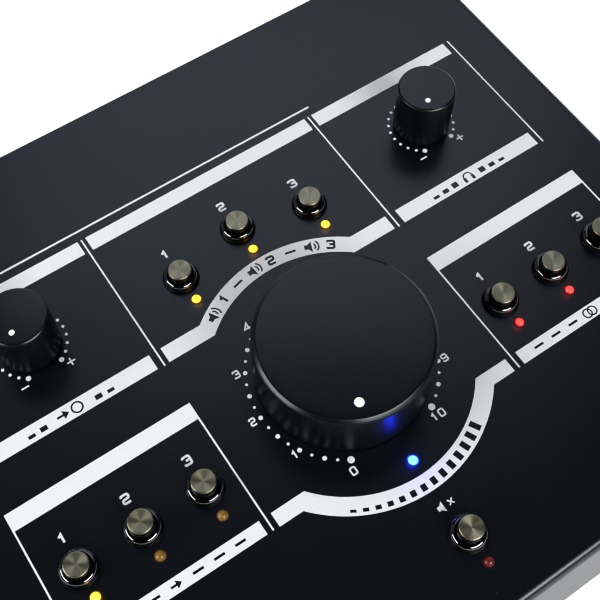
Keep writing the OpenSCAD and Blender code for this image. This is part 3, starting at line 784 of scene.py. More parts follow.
def knob_outline(radius, top, foot, round_edge, facet, wall, dome):
    """From the middle of the top, over the rim, down the skirt and up inside to the hub."""
    soft = round_edge - facet * FACET_OUT
    shoulder = radius - round_edge
    outline = [(shoulder * t, top - dome * t * t) for t in (0, 0.2, 0.4, 0.6, 0.8, 0.92)]
    outline += arc((shoulder, top - dome - soft), soft, 88, RIM_TILT, 7)
    outline += arc((radius - soft, top - dome - soft - facet * FACET_DOWN), soft, RIM_TILT, 0, 9)
    outline += [(radius, foot + SKIRT_RING), (radius, foot + FOOT_BEVEL),
                (radius - FOOT_BEVEL, foot)]
    outline += [(radius - wall, foot), (radius - wall, top - ROOF), (HUB_R, top - ROOF),
                (HUB_R, HUB_FOOT), (BORE_R, HUB_FOOT), (BORE_R, top - ROOF + BORE_END),
                (0, top - ROOF + BORE_END)]
    return outline


print("points in an outline:", len(knob_outline(radius=24, top=20, foot=1, round_edge=1.5,
                                                facet=0.7, wall=2.4, dome=0.4)))

# %% [markdown]
# ### Knob and marker
# The marker is a white dot let into the knob's top. The top is domed, so the dot sinks with it and
# leans outward with its slope. Left flat, it would dip under the lacquer at one side.

# %% Three knobs, each with its marker
DOT_SHARE = 0.87


def make_marker(node_name, body, hub_at, top, dome, shoulder):
    dot_low, dot_high = panel_box(node_name)
    x, y = middle((dot_low, dot_high))
    dot = (dot_high.x - dot_low.x) / 2 * DOT_SHARE
    outward = Vector((x - hub_at[0], y - hub_at[1], 0))
    sunk = dome * (outward.length / shoulder) ** 2
    leaning = Matrix.Rotation(2 * sunk / outward.length, 4, Vector((-outward.y, outward.x, 0)))
    section = [(0, 0.04), (dot * 0.6, 0.035)] + arc((dot - 0.1, -0.07), 0.1, 80, 0, 4)
    section += [(dot, -0.4), (0, -0.4)]
    marker = new_piece(node_name + "_inlay", lathe(section, 48), "marker_white", body,
                       on_panel(x, y, top - sunk) @ leaning)
    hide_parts(node_name)


def make_knob(node_name, body, marker_node, round_edge, facet, wall, dome):
    low, high = panel_box(node_name)
    x, y = middle((low, high))
    radius, top = (high.x - low.x) / 2, high.z
    outline = knob_outline(radius, top, low.z, round_edge, facet, wall, dome)
    knob = new_piece(node_name + "_turned", lathe(outline, 160), "soft_touch", body,
                     on_panel(x, y))
    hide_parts(node_name)
    make_marker(marker_node, body, (x, y), top, dome, radius - round_edge)
    print(node_name, "radius", round(radius, 1), "top", round(top, 1))


LEVEL_SHAPE = {"round_edge": 0.7, "facet": 0.25, "wall": 1.3, "dome": 0.12}
make_knob("master_knob", "volume_knob", "master_marker", round_edge=1.55, facet=0.75, wall=2.4,
          dome=0.4)
make_knob("aux_knob", "aux_knob_body", "aux_marker", **LEVEL_SHAPE)
make_knob("headphone_knob", "headphone_knob_body", "headphone_marker", **LEVEL_SHAPE)

# %% [markdown]
# ## Buttons
# Each button is a fixed collar with a round lip, and a cap that slides in it with a spun disc in
# its top. Cap and disc ride on the button's own body, so they sink together when it is pressed.
# The collar rides on the unit. As one mesh the three could not part when the button moves.

# %% Collars
LIP, LIP_INSET = 1.45, 0.2
GAP, SLEEVE, SLEEVE_WALL_IN = 0.35, 2.4, 0.6
FLANGE_OUT, FLANGE_ROUND = 0.1, 0.55
collar_low, collar_high = solids_of("button_collars")[0]
collar_r, collar_h = (collar_high.x - collar_low.x) / 2, collar_high.z


def make_collar(name, x, y, cap_r):
    inner, lip_x = cap_r + GAP, collar_r - LIP_INSET - LIP
    ring = [(inner, -SLEEVE), (inner, collar_h - 0.16), (inner + 0.03, collar_h - 0.08)]
    ring += arc((lip_x, collar_h - LIP), LIP, 74, 0, 16)
    ring += arc((collar_r - 0.45, 0.5), FLANGE_ROUND, 25, 0, 3)
    ring += [(collar_r + FLANGE_OUT, 0.0), (collar_r - SLEEVE_WALL_IN, 0.0),
             (collar_r - SLEEVE_WALL_IN, -SLEEVE)]
    collar = new_piece("collar_" + name, lathe(ring, 96, closed=True), "gloss_black", "unit",
                       on_panel(x, y))
    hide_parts("button_collars")


print("collar radius", round(collar_r, 2), "height", round(collar_h, 2))

# %% [markdown]
# ### Caps and discs
# The cap is a short drum on a stem, with a shallow recess in its top. The disc that lies there is
# a piece of its own, because it is metal and the cap is not. It is dished a little, so that its
# two bright fans travel round as the view turns, where a flat face would flash all at once.

# %% Caps on their stems, and the discs in them
RECESS = 0.6
STEM_R, STEM_H = 1.6, 6
DISH, DISC_SEAT = 0.14, 0.02


def make_cap(name, x, y, cap_r, foot, top, disc_r):
    seat_r = disc_r + DISC_SEAT
    cap = [(0, top - RECESS), (seat_r, top - RECESS), (seat_r, top - 0.24)]
    cap += arc((cap_r - 0.1, top - 0.34), 0.1, 90, 0, 4)
    cap += [(cap_r, foot + STEM_H), (STEM_R, foot + STEM_H), (STEM_R, foot), (0, foot)]
    made = new_piece("cap_turned_" + name, lathe(cap, 96), "cap_black", "button_" + name,
                     on_panel(x, y))
    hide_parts("cap_" + name)


def make_disc(name, x, y, top, disc_r):
    dish = [(r * disc_r * 0.93, top - DISH + DISH * r * r) for r in
            (0, 0.15, 0.3, 0.45, 0.6, 0.75, 0.88, 1)]
    dish += arc((disc_r - 0.2, top - 0.22), 0.2, 72, 0, 5)
    dish += [(disc_r, top - RECESS + DISC_SEAT), (0, top - RECESS + DISC_SEAT)]
    disc = new_piece("disc_spun_" + name, lathe(dish, 96), "spun_metal", "button_" + name,
                     on_panel(x, y))
    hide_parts("disc_" + name)


print("disc dish", DISH, "mm deep, in a recess of", RECESS)

# %% All ten buttons
DISC_GROWTH = 0.28


def make_button(name):
    cap_low, cap_high = panel_box("cap_" + name)
    disc_low, disc_high = panel_box("disc_" + name)
    x, y = middle((cap_low, cap_high))
    cap_r = (cap_high.x - cap_low.x) / 2
    disc_r = (disc_high.x - disc_low.x) / 2 + DISC_GROWTH
    make_collar(name, x, y, cap_r)
    make_cap(name, x, y, cap_r, cap_low.z, cap_high.z, disc_r)
    make_disc(name, x, y, cap_high.z, disc_r)
    return x, y


button_names = [n[len("cap_"):] for n in frame["nodes"] if n.startswith("cap_")]
button_at = {name: make_button(name) for name in button_names}
print("buttons:", {n: tuple(round(v, 1) for v in p) for n, p in button_at.items()})

# %% [markdown]
# ## Lamps on the panel
# The lamps are 3 mm diodes whose domed lenses stand a little proud of the panel. A glowing
# material alone lights its surroundings weakly and with noise, so each lit lens gets a small point
# light just over it, which throws its colour on the panel and the knob.

# %% Lenses and their glow
DARK_BUTTONS = ("mix_3", "input_1", "input_2", "mute")
GLOW_POWER = {"lamp_amber": 0.00012, "lamp_red": 0.0001, "lamp_blue": 0.0009}
GLOW_RISE, GLOW_R = 2.6, 0.0012
DOME_FOOT, FOOT_OVER_LEGS = -0.4, 8


def nearest_button(x, y):
    return min(button_at, key=lambda n: math.dist(button_at[n], (x, y)))


def throw_glow(name, slot, x, y):
    """A small point light over a lit lens."""
    glow = bpy.data.lights.new(name, "POINT")
    glow.energy = GLOW_POWER[slot]
    glow.color = colour(*LIT[slot])[:3]
    glow.shadow_soft_size = GLOW_R
    lamp = bpy.data.objects.new(name, glow)
    lamp.matrix_world = on_panel(x, y, GLOW_RISE)
    bpy.context.scene.collection.objects.link(lamp)


def make_lens(node_name, number, box):
    """One lens, and its glow if it is lit. Returns whether it is."""
    x, y = middle(box)
    foot = box[0].z + FOOT_OVER_LEGS
    outline = arc((0, DOME_FOOT), LENS_R, 90, 0, 16) + [(LENS_R, foot), (0, foot)]
    slot = slot_of[node_name]
    lit = node_name == "power_lamp" or nearest_button(x, y) not in DARK_BUTTONS
    lens = new_piece(f"{node_name}_{number}", lathe(outline, 48), slot + ("" if lit else "_off"),
                     "unit", on_panel(x, y))
    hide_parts(node_name)
    if lit:
        throw_glow(f"glow_{node_name}_{number}", slot, x, y)
    return lit


for lamp_node in ("speaker_lamps", "mix_lamps", "input_lamps", "power_lamp"):
    lit = [make_lens(lamp_node, i, box) for i, box in enumerate(solids_of(lamp_node), 1)]
    print(lamp_node, "lit:", sum(lit), "of", len(lit))

# %% [markdown]
# ## Screen print
# The print is flat artwork: bars, thin lines, dots, plain numerals and small signs knocked out of
# the bars. An image texture would blur close up, and text objects leave poor faces. So each drawing
# is a set of closed loops in panel millimetres. A constrained triangulation joins the loops that
# overlap and drops what the knock-outs cover, and the result becomes a very thin plate of ink.

# %% Which loops cover a point
def covers(loop, x, y):
    """Whether a loop winds round a point."""
    turns = 0
    for (ax, ay), (bx, by) in zip(loop, loop[1:] + loop[:1]):
        if (ay > y) != (by > y):
            to_left = (bx - ax) * (y - ay) - (by - ay) * (x - ax) > 0
            turns += (1 if to_left else -1) if (by > ay) == to_left else 0
    return turns != 0


def with_boxes(loops):
    """Each loop after the box round it, which rules most points out at once."""
    return [(min(x for x, _ in p), max(x for x, _ in p), min(y for _, y in p),
             max(y for _, y in p), p) for p in loops]


def inside(group, x, y):
    return any(a < x < b and c < y < d and covers(p, x, y) for a, b, c, d, p in group)


print("the middle of a square is covered:", covers([(0, 0), (1, 0), (1, 1), (0, 1)], 0.5, 0.5))

# %% From loops to ink
INK_TOP, INK_FOOT = 0.04, -0.03
JOIN_WITHIN = 1e-5


def inked_triangles(keep, cut):
    """Points, and the triangles that a keep loop covers and no cut loop does."""
    points, edges = [], []
    for loop in list(keep) + list(cut):
        first = len(points)
        edges += [(first + i, first + (i + 1) % len(loop)) for i in range(len(loop))]
        points += [Vector(p) for p in loop]
    flat = delaunay_2d_cdt(points, edges, [], 0, JOIN_WITHIN, False)
    kept, holes, inked = with_boxes(keep), with_boxes(cut), []
    for triangle in flat[2]:
        x = sum(flat[0][v].x for v in triangle) / len(triangle)
        y = sum(flat[0][v].y for v in triangle) / len(triangle)
        if inside(kept, x, y) and not inside(holes, x, y):
            inked.append(triangle)
    return flat[0], inked


def print_plate(name, keep, cut=(), place=PANEL):
    """A thin plate of ink over the keep loops, without the cut loops."""
    points, inked = inked_triangles(keep, cut)
    mesh = bmesh.new()
    used = sorted({v for t in inked for v in t})
    top = {v: mesh.verts.new((points[v].x * MM, points[v].y * MM, INK_TOP * MM)) for v in used}
    foot = {v: mesh.verts.new((points[v].x * MM, points[v].y * MM, INK_FOOT * MM)) for v in used}
    sides = {(t[i], t[(i + 1) % len(t)]) for t in inked for i in range(len(t))}
    for t in inked:
        mesh.faces.new([top[v] for v in t])
        mesh.faces.new([foot[v] for v in reversed(t)])
    for a, b in sides:
        if (b, a) not in sides:
            mesh.faces.new([top[b], top[a], foot[a], foot[b]])
    new_piece(name, mesh, "print_ink", "unit", place)
    print(name, "triangles on top:", len(inked))


# %% Plain shapes, and loops moved to their places
def bar(x0, x1, y0, y1):
    return [(x0, y0), (x1, y0), (x1, y1), (x0, y1)]


def dot_at(x, y, diameter, steps=20):
    return arc((x, y), diameter / 2, 0, 360 - 360 / steps, steps - 1)


def moved(loops, at, turn=0.0, size=1.0):
    """Loops scaled, turned by an angle in degrees and carried to a place."""
    c, s = math.cos(math.radians(turn)) * size, math.sin(math.radians(turn)) * size
    return [[(at[0] + x * c - y * s, at[1] + x * s + y * c) for x, y in loop] for loop in loops]


def mirrored(loops):
    return [[(-x, y) for x, y in reversed(loop)] for loop in loops]


print("a bar turned a quarter:", [tuple(round(v, 1) for v in p)
                                  for p in moved([bar(0, 2, 0, 1)], (0, 0), 90)[0]])

# %% [markdown]
# ### Strokes
# Numerals and signs are drawn as pen strokes: a path with a width. At a corner the two edges meet
# on the line that halves its angle, a mitre, so that the stroke keeps its width. A first step may
# round the corners of the path, as the real numerals have them.

# %% Strokes with mitred corners
MITRE_LIMIT = 0.3


def eased(path, radius, closed=False, steps=4):
    """A path whose inner corners are rounded."""
    count, out = len(path), []
    for i, here in enumerate(path):
        if not closed and i in (0, count - 1):
            out.append(here)
            continue
        here = Vector(here)
        before, after = Vector(path[i - 1]), Vector(path[(i + 1) % count])
        room = min(radius, (before - here).length * 0.49, (after - here).length * 0.49)
        start = here.lerp(before, room / (before - here).length)
        end = here.lerp(after, room / (after - here).length)
        for k in range(steps + 1):
            t = k / steps
            out.append(tuple(start.lerp(here, t).lerp(here.lerp(end, t), t)))
    return out


def stroke(path, width, closed=False):
    """One loop for each segment of a path, mitred so that neighbours meet edge to edge."""
    points = [Vector(p) for p in path]
    count = len(points)

    def side(i):
        a = points[i] - points[i - 1] if closed or i else points[1] - points[0]
        b = points[(i + 1) % count] - points[i] if closed or i < count - 1 else a
        a, b = a.normalized(), b.normalized()
        across_path = Vector((-a.y - b.y, a.x + b.x)).normalized()
        return across_path * width / 2 / max(MITRE_LIMIT, across_path.dot(Vector((-a.y, a.x))))

    left = [tuple(points[i] + side(i)) for i in range(count)]
    right_side = [tuple(points[i] - side(i)) for i in range(count)]
    last = count if closed else count - 1
    return [[right_side[i], right_side[(i + 1) % count], left[(i + 1) % count], left[i]]
            for i in range(last)]


print("segments in a bent stroke:", len(stroke([(0, 0), (1, 0), (1, 1)], 0.2)))

# %% [markdown]
# ### Numerals
# The dial's figures are plain, wide and square. Each is written as a few corner points in a unit
# box, so its weight, width and height can be set when it is drawn. A font would bring the look of
# someone's typeface with it.

# %% Numerals in a wide square hand
NUMERALS = {
    "0": [([(0, 0), (1, 0), (1, 1), (0, 1)], True)],
    "1": [([(0.12, 0.74), (0.55, 1), (0.55, 0)], False)],
    "2": [([(0, 0.78), (0, 1), (1, 1), (1, 0.5), (0, 0.45), (0, 0), (1, 0)], False)],
    "3": [([(0, 0.8), (0, 1), (1, 1), (1, 0), (0, 0), (0, 0.2)], False),
          ([(0.3, 0.52), (1, 0.52)], False)],
    "4": [([(0.82, 0), (0.82, 1), (-0.06, 0.22), (1.12, 0.22)], False)],
    "5": [([(0.95, 1), (0, 1), (0, 0.55), (1, 0.55), (1, 0), (0, 0), (0, 0.16)], False)],
    "6": [([(1, 0.8), (1, 1), (0, 1), (0, 0), (1, 0), (1, 0.55), (0, 0.55)], False)],
    "7": [([(0, 1), (1, 1), (0.35, 0)], False)],
    "8": [([(0, 0), (1, 0), (1, 1), (0, 1)], True), ([(0, 0.53), (1, 0.53)], False)],
    "9": [([(1, 0.45), (0, 0.45), (0, 1), (1, 1), (1, 0), (0, 0), (0, 0.2)], False)],
}
SHARP_NUMERALS = "147"
CORNER_SHARE = 0.17


def numeral(text, at, height, pen=0.19, wide=0.8):
    """Loops of a number, centred on a place. pen is the stroke's share of the height."""
    inner = height * (1 - pen)
    step = inner * wide + height * (pen + 0.2)
    loops = []
    for i, sign in enumerate(text):
        left = at[0] + (i - (len(text) - 1) / 2) * step - inner * wide / 2
        for path, closed in NUMERALS[sign]:
            placed = [(left + x * inner * wide, at[1] + (y - 0.5) * inner) for x, y in path]
            if sign not in SHARP_NUMERALS:
                placed = eased(placed, height * CORNER_SHARE, closed)
            loops += stroke(placed, height * pen, closed)
    return loops


print("loops in the number 10:", len(numeral("10", (0, 0), 1)))

# %% [markdown]
# ### Frame lines and bands
# Long bars run over the rows of controls, thin lines close them into boxes, and the bars next to
# the volume knob run into two arcs round its dial. Each arc's ends lie where its circle meets the
# straight bar, so the angle comes from the two measures and can't open a gap.

# %% Lines, and the two curved bands round the volume knob
BAND_IN, BAND_OUT = 35.3, 40.2
LINE = 0.48
TOP_RULE = (-98, 41, 75.8, 76.4)
TOP_LOW, TOP_HIGH = 68.4, 73.1
HALF_TOP = 37.4
SIDE_X0, SIDE_X1 = 39.9, 90.2
POST_X = (38.7, 92.0)
BAR_LOW, BAR_HIGH = 26.75, 31.55


def band(y_inner, y_outer, end_x, side_sign, steps=40):
    """Straight bars that run into a ring segment over or under the dial."""
    def meet(radius, y):
        return math.degrees(math.acos(min(1, y / radius)))
    low, high = meet(BAND_IN, y_inner), meet(BAND_OUT, y_outer)
    outer = arc((0, 0), BAND_OUT, 90 - high, 90 + high, steps)
    inner = arc((0, 0), BAND_IN, 90 + low, 90 - low, steps)
    loop = [(end_x, y_inner), (end_x, y_outer)] + outer
    loop += [(-end_x, y_outer), (-end_x, y_inner)] + inner
    return [(x, side_sign * y) for x, y in loop]


def print_lines():
    keep = [bar(*TOP_RULE), bar(-HALF_TOP, HALF_TOP, TOP_LOW, TOP_HIGH)]
    for sign in (1, -1):
        keep += [bar(*sorted((sign * SIDE_X0, sign * SIDE_X1)), TOP_LOW, TOP_HIGH)]
        for x in POST_X:
            keep += [bar(sign * x - LINE / 2, sign * x + LINE / 2, BAR_LOW - 0.2, TOP_HIGH)]
    print_plate("print_frame_lines", keep)


print_lines()

# %% [markdown]
# ### Signs
# What a control is for is told by a plain sign: a speaker, headphones, an arrow or rings. Each is
# drawn once from strokes and bars, round its own middle and about 3 mm across, and then moved to
# where it is used, so that the same sign looks the same everywhere.

# %% Small signs that stand where a control's use is told
def headphone_sign():
    ring = stroke(arc((0, -0.2), 1.35, 5, 175, 14), 0.42)
    return ring + [bar(-1.75, -0.85, -1.7, -0.1), bar(0.85, 1.75, -1.7, -0.1)]


def speaker_sign():
    cone = [[(-1.6, -0.6), (-0.75, -0.6), (0.2, -1.5), (0.2, 1.5), (-0.75, 0.6), (-1.6, 0.6)]]
    for radius in (0.95, 1.75):
        cone += stroke(arc((0.1, 0), radius, -48, 48, 8), 0.4)
    return cone


def arrow_sign():
    return [[(-1.7, -0.3), (0.0, -0.3), (0.0, -1.2), (1.5, 0), (0.0, 1.2), (0.0, 0.3),
             (-1.7, 0.3)]]


def ring_sign(gap=0.0, radius=1.35):
    return stroke(dot_at(gap, 0, radius * 2, 28), 0.45, closed=True)


def overlap_sign():
    return ring_sign(-0.85) + ring_sign(0.85)


def cross_sign():
    return stroke([(-0.9, -0.9), (0.9, 0.9)], 0.45) + stroke([(-0.9, 0.9), (0.9, -0.9)], 0.45)


print("loops in the speaker sign:", len(speaker_sign()))

# %% [markdown]
# ### Bars with knocked-out signs
# On the real panel the bars are white and their marks are left bare, so that the black coat shows
# through. The plates are cut in the same way, which also keeps every edge on one level. Over the
# dial the signs stand upright on the band, and under it a row of ticks grows with the volume.

# %% The two bands
BAND_MIDDLE = (BAND_IN + BAND_OUT) / 2
OVER_END, UNDER_END = 37.2, 37.3
UNDER_INNER, UNDER_OUTER = 22.35, 26.45
SPEAKER_ANGLES = {"1": 118, "2": 91, "3": 64}
SIGN_APART, DASH_APART = 4.3, 13.5
TICKS, FIRST_TICK, TICK_STEP = 14, -121, 4.7


def round_dial(loops, radius, angle, size=1.0, inward=False):
    """Loops placed on a circle round the dial, upright on its rim."""
    a = math.radians(angle)
    turn = angle + 90 if inward else angle - 90
    return moved(loops, (radius * math.cos(a), radius * math.sin(a)), turn, size)


def print_bands():
    cut = []
    for number, angle in SPEAKER_ANGLES.items():
        cut += round_dial(speaker_sign(), BAND_MIDDLE, angle + SIGN_APART, 1.2)
        cut += round_dial(numeral(number, (0, 0), 3.1, 0.23), BAND_MIDDLE, angle - SIGN_APART)
        if number != "3":
            cut += round_dial([bar(-1.6, 1.6, -0.35, 0.35)], BAND_MIDDLE, angle - DASH_APART)
    print_plate("print_speaker_band", [band(BAR_LOW, BAR_HIGH, OVER_END, 1)], cut)
    cut = []
    for i in range(TICKS):
        tall = 0.6 + 2.6 * (i + 1) / TICKS
        cut += round_dial([bar(-0.8, 0.8, -1.6, -1.6 + tall)], BAND_MIDDLE,
                          FIRST_TICK + i * TICK_STEP, inward=True)
    print_plate("print_volume_band", [band(UNDER_INNER, UNDER_OUTER, UNDER_END, -1)], cut)


print_bands()

# %% [markdown]
# ### Level bars
# Under each level knob lies a straight bar with a sign in its middle, between two rows of small
# blocks. The right one and the left one have other signs, so only the bar and the blocks share
# their measures.

# %% The bars under the two level knobs
LEVEL_BAR = (40.75, 90.2)
LEVEL_MIDDLE = 65.5


def level_marks(places, y):
    """Blocks that are lower the further they are from the bar's middle."""
    return [bar(x - 1.0, x + 1.0, y - 1.2, y + 1.2 - abs(abs(x) - LEVEL_MIDDLE) * 0.12)
            for x in places]


def print_level_bars():
    y = (BAR_LOW + BAR_HIGH) / 2
    cut = moved(headphone_sign(), (LEVEL_MIDDLE, y + 0.1), 0, 1.05)
    cut += level_marks((53.5, 57, 60.5, 70.5, 74, 77.5), y)
    print_plate("print_headphone_bar", [bar(*LEVEL_BAR, BAR_LOW, BAR_HIGH)], cut)
    cut = moved(arrow_sign(), (-67.6, y), 0, 1.1) + moved(ring_sign(), (-63.6, y), 0, 1.1)
    cut += level_marks((-54, -57.5, -73.5, -77), y)
    print_plate("print_input_level_bar",
                [bar(-LEVEL_BAR[1], -LEVEL_BAR[0], BAR_LOW, BAR_HIGH)], cut)


print_level_bars()

# %% [markdown]
# ### Boxes round the button rows
# Two boxes of the same size lie left and right of the dial. One is drawn and the other mirrored,
# so they can't differ. The signs aren't mirrored with their bar, but moved, or they would read
# backwards.

# %% The framed boxes
BOX_X0, BOX_X1 = 38.8, 92.3
BOX_TOP_LOW, BOX_TOP_HIGH = 8.85, 13.9
BOX_FOOT = (-26.35, -22.35)
BOX_DASHES = (47.4, 53.4, 59.4, 71.6, 77.6, 83.6)


def print_boxes():
    y = sum(BOX_FOOT) / 2
    for name, sign_loops in (("mix", overlap_sign()), ("input", arrow_sign())):
        sides = [bar(BOX_X0, BOX_X1, BOX_TOP_LOW, BOX_TOP_HIGH),
                 bar(BOX_X0, BOX_X0 + LINE, BOX_FOOT[0], BOX_TOP_HIGH),
                 bar(BOX_X1 - LINE, BOX_X1, BOX_FOOT[0], BOX_TOP_HIGH)]
        foot = [bar(BOX_X0 + 2.0, BOX_X1 - 2.0, *BOX_FOOT)]
        cut = moved(sign_loops, (LEVEL_MIDDLE, y), 0, 0.95)
        cut += [bar(x - 1.5, x + 1.5, y - 0.35, y + 0.35) for x in BOX_DASHES]
        if name == "input":
            sides, foot = mirrored(sides), mirrored(foot)
            cut = [[(x - 2 * LEVEL_MIDDLE, py) for x, py in loop] for loop in cut]
        print_plate(f"print_{name}_box", sides)
        print_plate(f"print_{name}_bar", foot, cut)


print_boxes()

# %% [markdown]
# ### Dials
# The volume dial has a dot for each quarter of a unit over ten units, with the whole units larger
# and the two ends largest. The level dials are plainer. Each dial's dots follow its knob's centre,
# and the figures stand where the photograph has them, a little off an even circle.

# %% The volume dial: 41 dots and the numbers 0 to 10
RING_R = 25.7
DIAL_START, UNIT_TURN = -120, -30
NUMBER_AT = [(-14.0, -25.0), (-23.9, -13.2), (-28.0, 0.2), (-24.4, 13.8), (-14.7, 24.1), (0, 28.2),
             (14.7, 24.1), (24.4, 13.8), (28.0, 0.2), (24.2, -13.0), (12.9, -24.9)]


def print_dial():
    keep = []
    for i in range(41):
        a = math.radians(DIAL_START + UNIT_TURN * i / 4)
        size = 1.9 if i in (0, 40) else (0.8 if i % 2 else 1.25)
        keep += [dot_at(RING_R * math.cos(a), RING_R * math.sin(a), size, 16)]
    for unit, at in enumerate(NUMBER_AT):
        keep += numeral(str(unit), at, 2.4, wide=0.72)
    print_plate("print_dial", keep)


print_dial()

# %% The level dials: 21 dots each, with a minus and a plus
LEVEL_RING_R = 9.8
LEVEL_STEP = -15
SIGN_DROP = 10.4
MINUS_X, PLUS_X = (-7.9, -5.7), (5.6, 7.9)


def print_level_dial(name, knob):
    cx, cy = middle(panel_box(knob))
    keep = []
    for i in range(21):
        a = math.radians(DIAL_START + LEVEL_STEP * i)
        size = 1.45 if i in (0, 10, 20) else 0.9
        keep += [dot_at(cx + LEVEL_RING_R * math.cos(a), cy + LEVEL_RING_R * math.sin(a), size, 14)]
    y = cy - SIGN_DROP
    keep += stroke([(cx + x, y) for x in MINUS_X], 0.48)
    keep += stroke([(cx + x, y) for x in PLUS_X], 0.45)
    plus_x, half = cx + sum(PLUS_X) / 2, (PLUS_X[1] - PLUS_X[0]) / 2
    keep += stroke([(plus_x, y - half), (plus_x, y + half)], 0.45)
    print_plate(name, keep)


print_level_dial("print_aux_dial", "aux_knob")
print_level_dial("print_headphone_dial", "headphone_knob")

# %% [markdown]
# ### Button labels
# Each button of a row is told by a plain number, counted from the left, and the mute button by a
# crossed-out speaker. The labels stand at one distance over the measured buttons.

# %% Numbers over the buttons, and the mute sign
LABEL_RISE, LABEL_HIGH = 8.8, 2.9


def number_in_row(name):
    """A button's number, counted from the left of its row."""
    row = sorted((at[0], n) for n, at in button_at.items() if n[:-1] == name[:-1])
    return [n for _, n in row].index(name) + 1


def print_labels():
    keep = []
    for name, (x, y) in button_at.items():
        y += LABEL_RISE
        if name == "mute":
            keep += moved(speaker_sign()[:1], (x - 0.9, y))
            keep += moved(cross_sign(), (x + 1.5, y), 0, 0.8)
        else:
            keep += numeral(str(number_in_row(name)), (x, y), LABEL_HIGH, 0.22)
    print_plate("print_button_labels", keep)


print_labels()

# %% [markdown]
# ## Print on the rear and the front wall
# The walls get their own matrices. On the rear wall each number or sign stands over the socket it
# belongs to, and on the low front wall beside it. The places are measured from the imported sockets,
# so nothing here repeats their spacing.

# %% Wall frames and their signs
MARK_RISE, MARK_HIGH = 4.9, 2.9
MARK_APART = (-2.2, 2.4)
RULE_LOW, RULE_HIGH = 1.4, 1.85


def wall(right_axis, out_axis, at):
    """The frame of an upright wall: its right, up and outward directions."""
    frame_axes = Matrix((right_axis, Vector((0, 0, 1)), out_axis)).transposed().to_4x4()
    frame_axes.translation = Vector(at)
    return frame_axes


def over(node_name, to_wall):
    """Middle and top of each separate socket of a node, seen on its wall."""
    return [((b[0].x + b[1].x) / 2, b[1].y) for b in solids_of(node_name, to_wall)]


def socket_mark(sign, number, x, top, half_rule):
    """A sign and a number over a short rule that spans a socket or a pair."""
    return (moved(sign, (x + MARK_APART[0], top + MARK_RISE), 0, 0.85)
            + numeral(str(number), (x + MARK_APART[1], top + MARK_RISE), MARK_HIGH)
            + [bar(x - half_rule, x + half_rule, top + RULE_LOW, top + RULE_HIGH)])


def power_sign():
    return stroke(arc((0, 0), 1.5, 125, 415, 20), 0.42) + [bar(-0.21, 0.21, -0.1, 1.9)]


def direct_current_sign():
    dashes = [bar(x, x + 0.9, -0.72, -0.3) for x in (-1.8, -0.45, 0.9)]
    return [bar(-1.8, 1.8, 0.3, 0.72)] + dashes


print("loops in a socket's mark:", len(socket_mark(arrow_sign(), 1, 0, 0, 7)))

# %% The rear wall
HALF_RULE, PAIR_OVERHANG = 7.2, 12.5


def print_rear():
    rear = wall(-across, Vector((0, 1, 0)), (0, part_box("rear_panel")[1][1], 0))
    to_rear = rear.inverted()
    keep = []
    for number, (x, top) in enumerate(over("output_sockets", to_rear), 1):
        keep += socket_mark(speaker_sign(), number, x, top, HALF_RULE)
    for x, top in over("line_sockets", to_rear):
        keep += socket_mark(arrow_sign(), 2, x, top, HALF_RULE)
    (first, top), (second, _) = over("combi_sockets", to_rear)
    keep += socket_mark(arrow_sign(), 1, (first + second) / 2, top,
                        (second - first) / 2 + PAIR_OVERHANG)
    x, top = over("dc_inlet", to_rear)[0]
    keep += moved(direct_current_sign(), (x, top + MARK_RISE - 1))
    x, top = over("power_button", to_rear)[0]
    keep += moved(power_sign(), (x, top + MARK_RISE + 3.9))
    print_plate("print_rear", keep, place=rear)


print_rear()

# %% The front wall
FRONT_DROP = 6.5
ASIDE_HEADPHONE, ASIDE_AUX = -11.5, 9.0


def print_front():
    front = wall(across, Vector((0, -1, 0)), (0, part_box("top_cover")[0][1], 0))
    to_front = front.inverted()
    x, top = over("headphone_socket", to_front)[0]
    keep = moved(headphone_sign(), (x + ASIDE_HEADPHONE, top - FRONT_DROP), 0, 1.1)
    x, top = over("aux_socket", to_front)[0]
    keep += moved(arrow_sign(), (x + ASIDE_AUX, top - FRONT_DROP), 180)
    print_plate("print_front", keep, place=front)


print_front()

# %% [markdown]
# ## Studio floor
# The floor is a pale sheet that the unit stands on. Its lamps light it only to a pale grey, so it
# also glows for rays from the camera and for those off a shiny face or through glass. A glow that
# every ray could see would light the unit from below and wash its shadow out.

# %% Floor sheet
FLOOR_HALF = 3.0
FLOOR_DROP = -0.0002


def lay_floor():
    mesh = bmesh.new()
    bmesh.ops.create_grid(mesh, x_segments=1, y_segments=1, size=FLOOR_HALF)
    data = bpy.data.meshes.new("floor")
    mesh.to_mesh(data)
    mesh.free()
    floor = bpy.data.objects.new("floor", data)
    floor.location.z = FLOOR_DROP
    bpy.context.scene.collection.objects.link(floor)
    return data


floor_sheet = lay_floor()
print("floor:", FLOOR_HALF * 2, "m wide")

# %% Floor finish: pale, and glowing more with the distance
GLOW_NEAR, GLOW_FAR = 0.6, 0.95


def make_floor_finish():
    tree, shader = new_material("floor", Roughness=0.9, Specular_IOR_Level=0.1,
                                Emission_Color=(1, 1, 1, 1))
    rays = node(tree, "LightPath").outputs
    shiny = maths(tree, "ADD", rays["Is Glossy Ray"], rays["Is Transmission Ray"])
    seen = maths(tree, "MINIMUM", 1.0, maths(tree, "ADD", rays["Is Camera Ray"], shiny))
    cloud = spread(tree, noise(tree, 6.0, 2.0), (0.2, 0.8), (0.98, 1.0))
    away = spread(tree, length_of(tree, own_place(tree)), (0.2, 1.1), (GLOW_NEAR, GLOW_FAR))
    feed(tree, shader, Base_Color=tint(tree, colour(240, 240, 240), cloud),
         Emission_Strength=maths(tree, "MULTIPLY", seen, away))


make_floor_finish()
floor_sheet.materials.append(finishes["floor"])
count_nodes("floor")

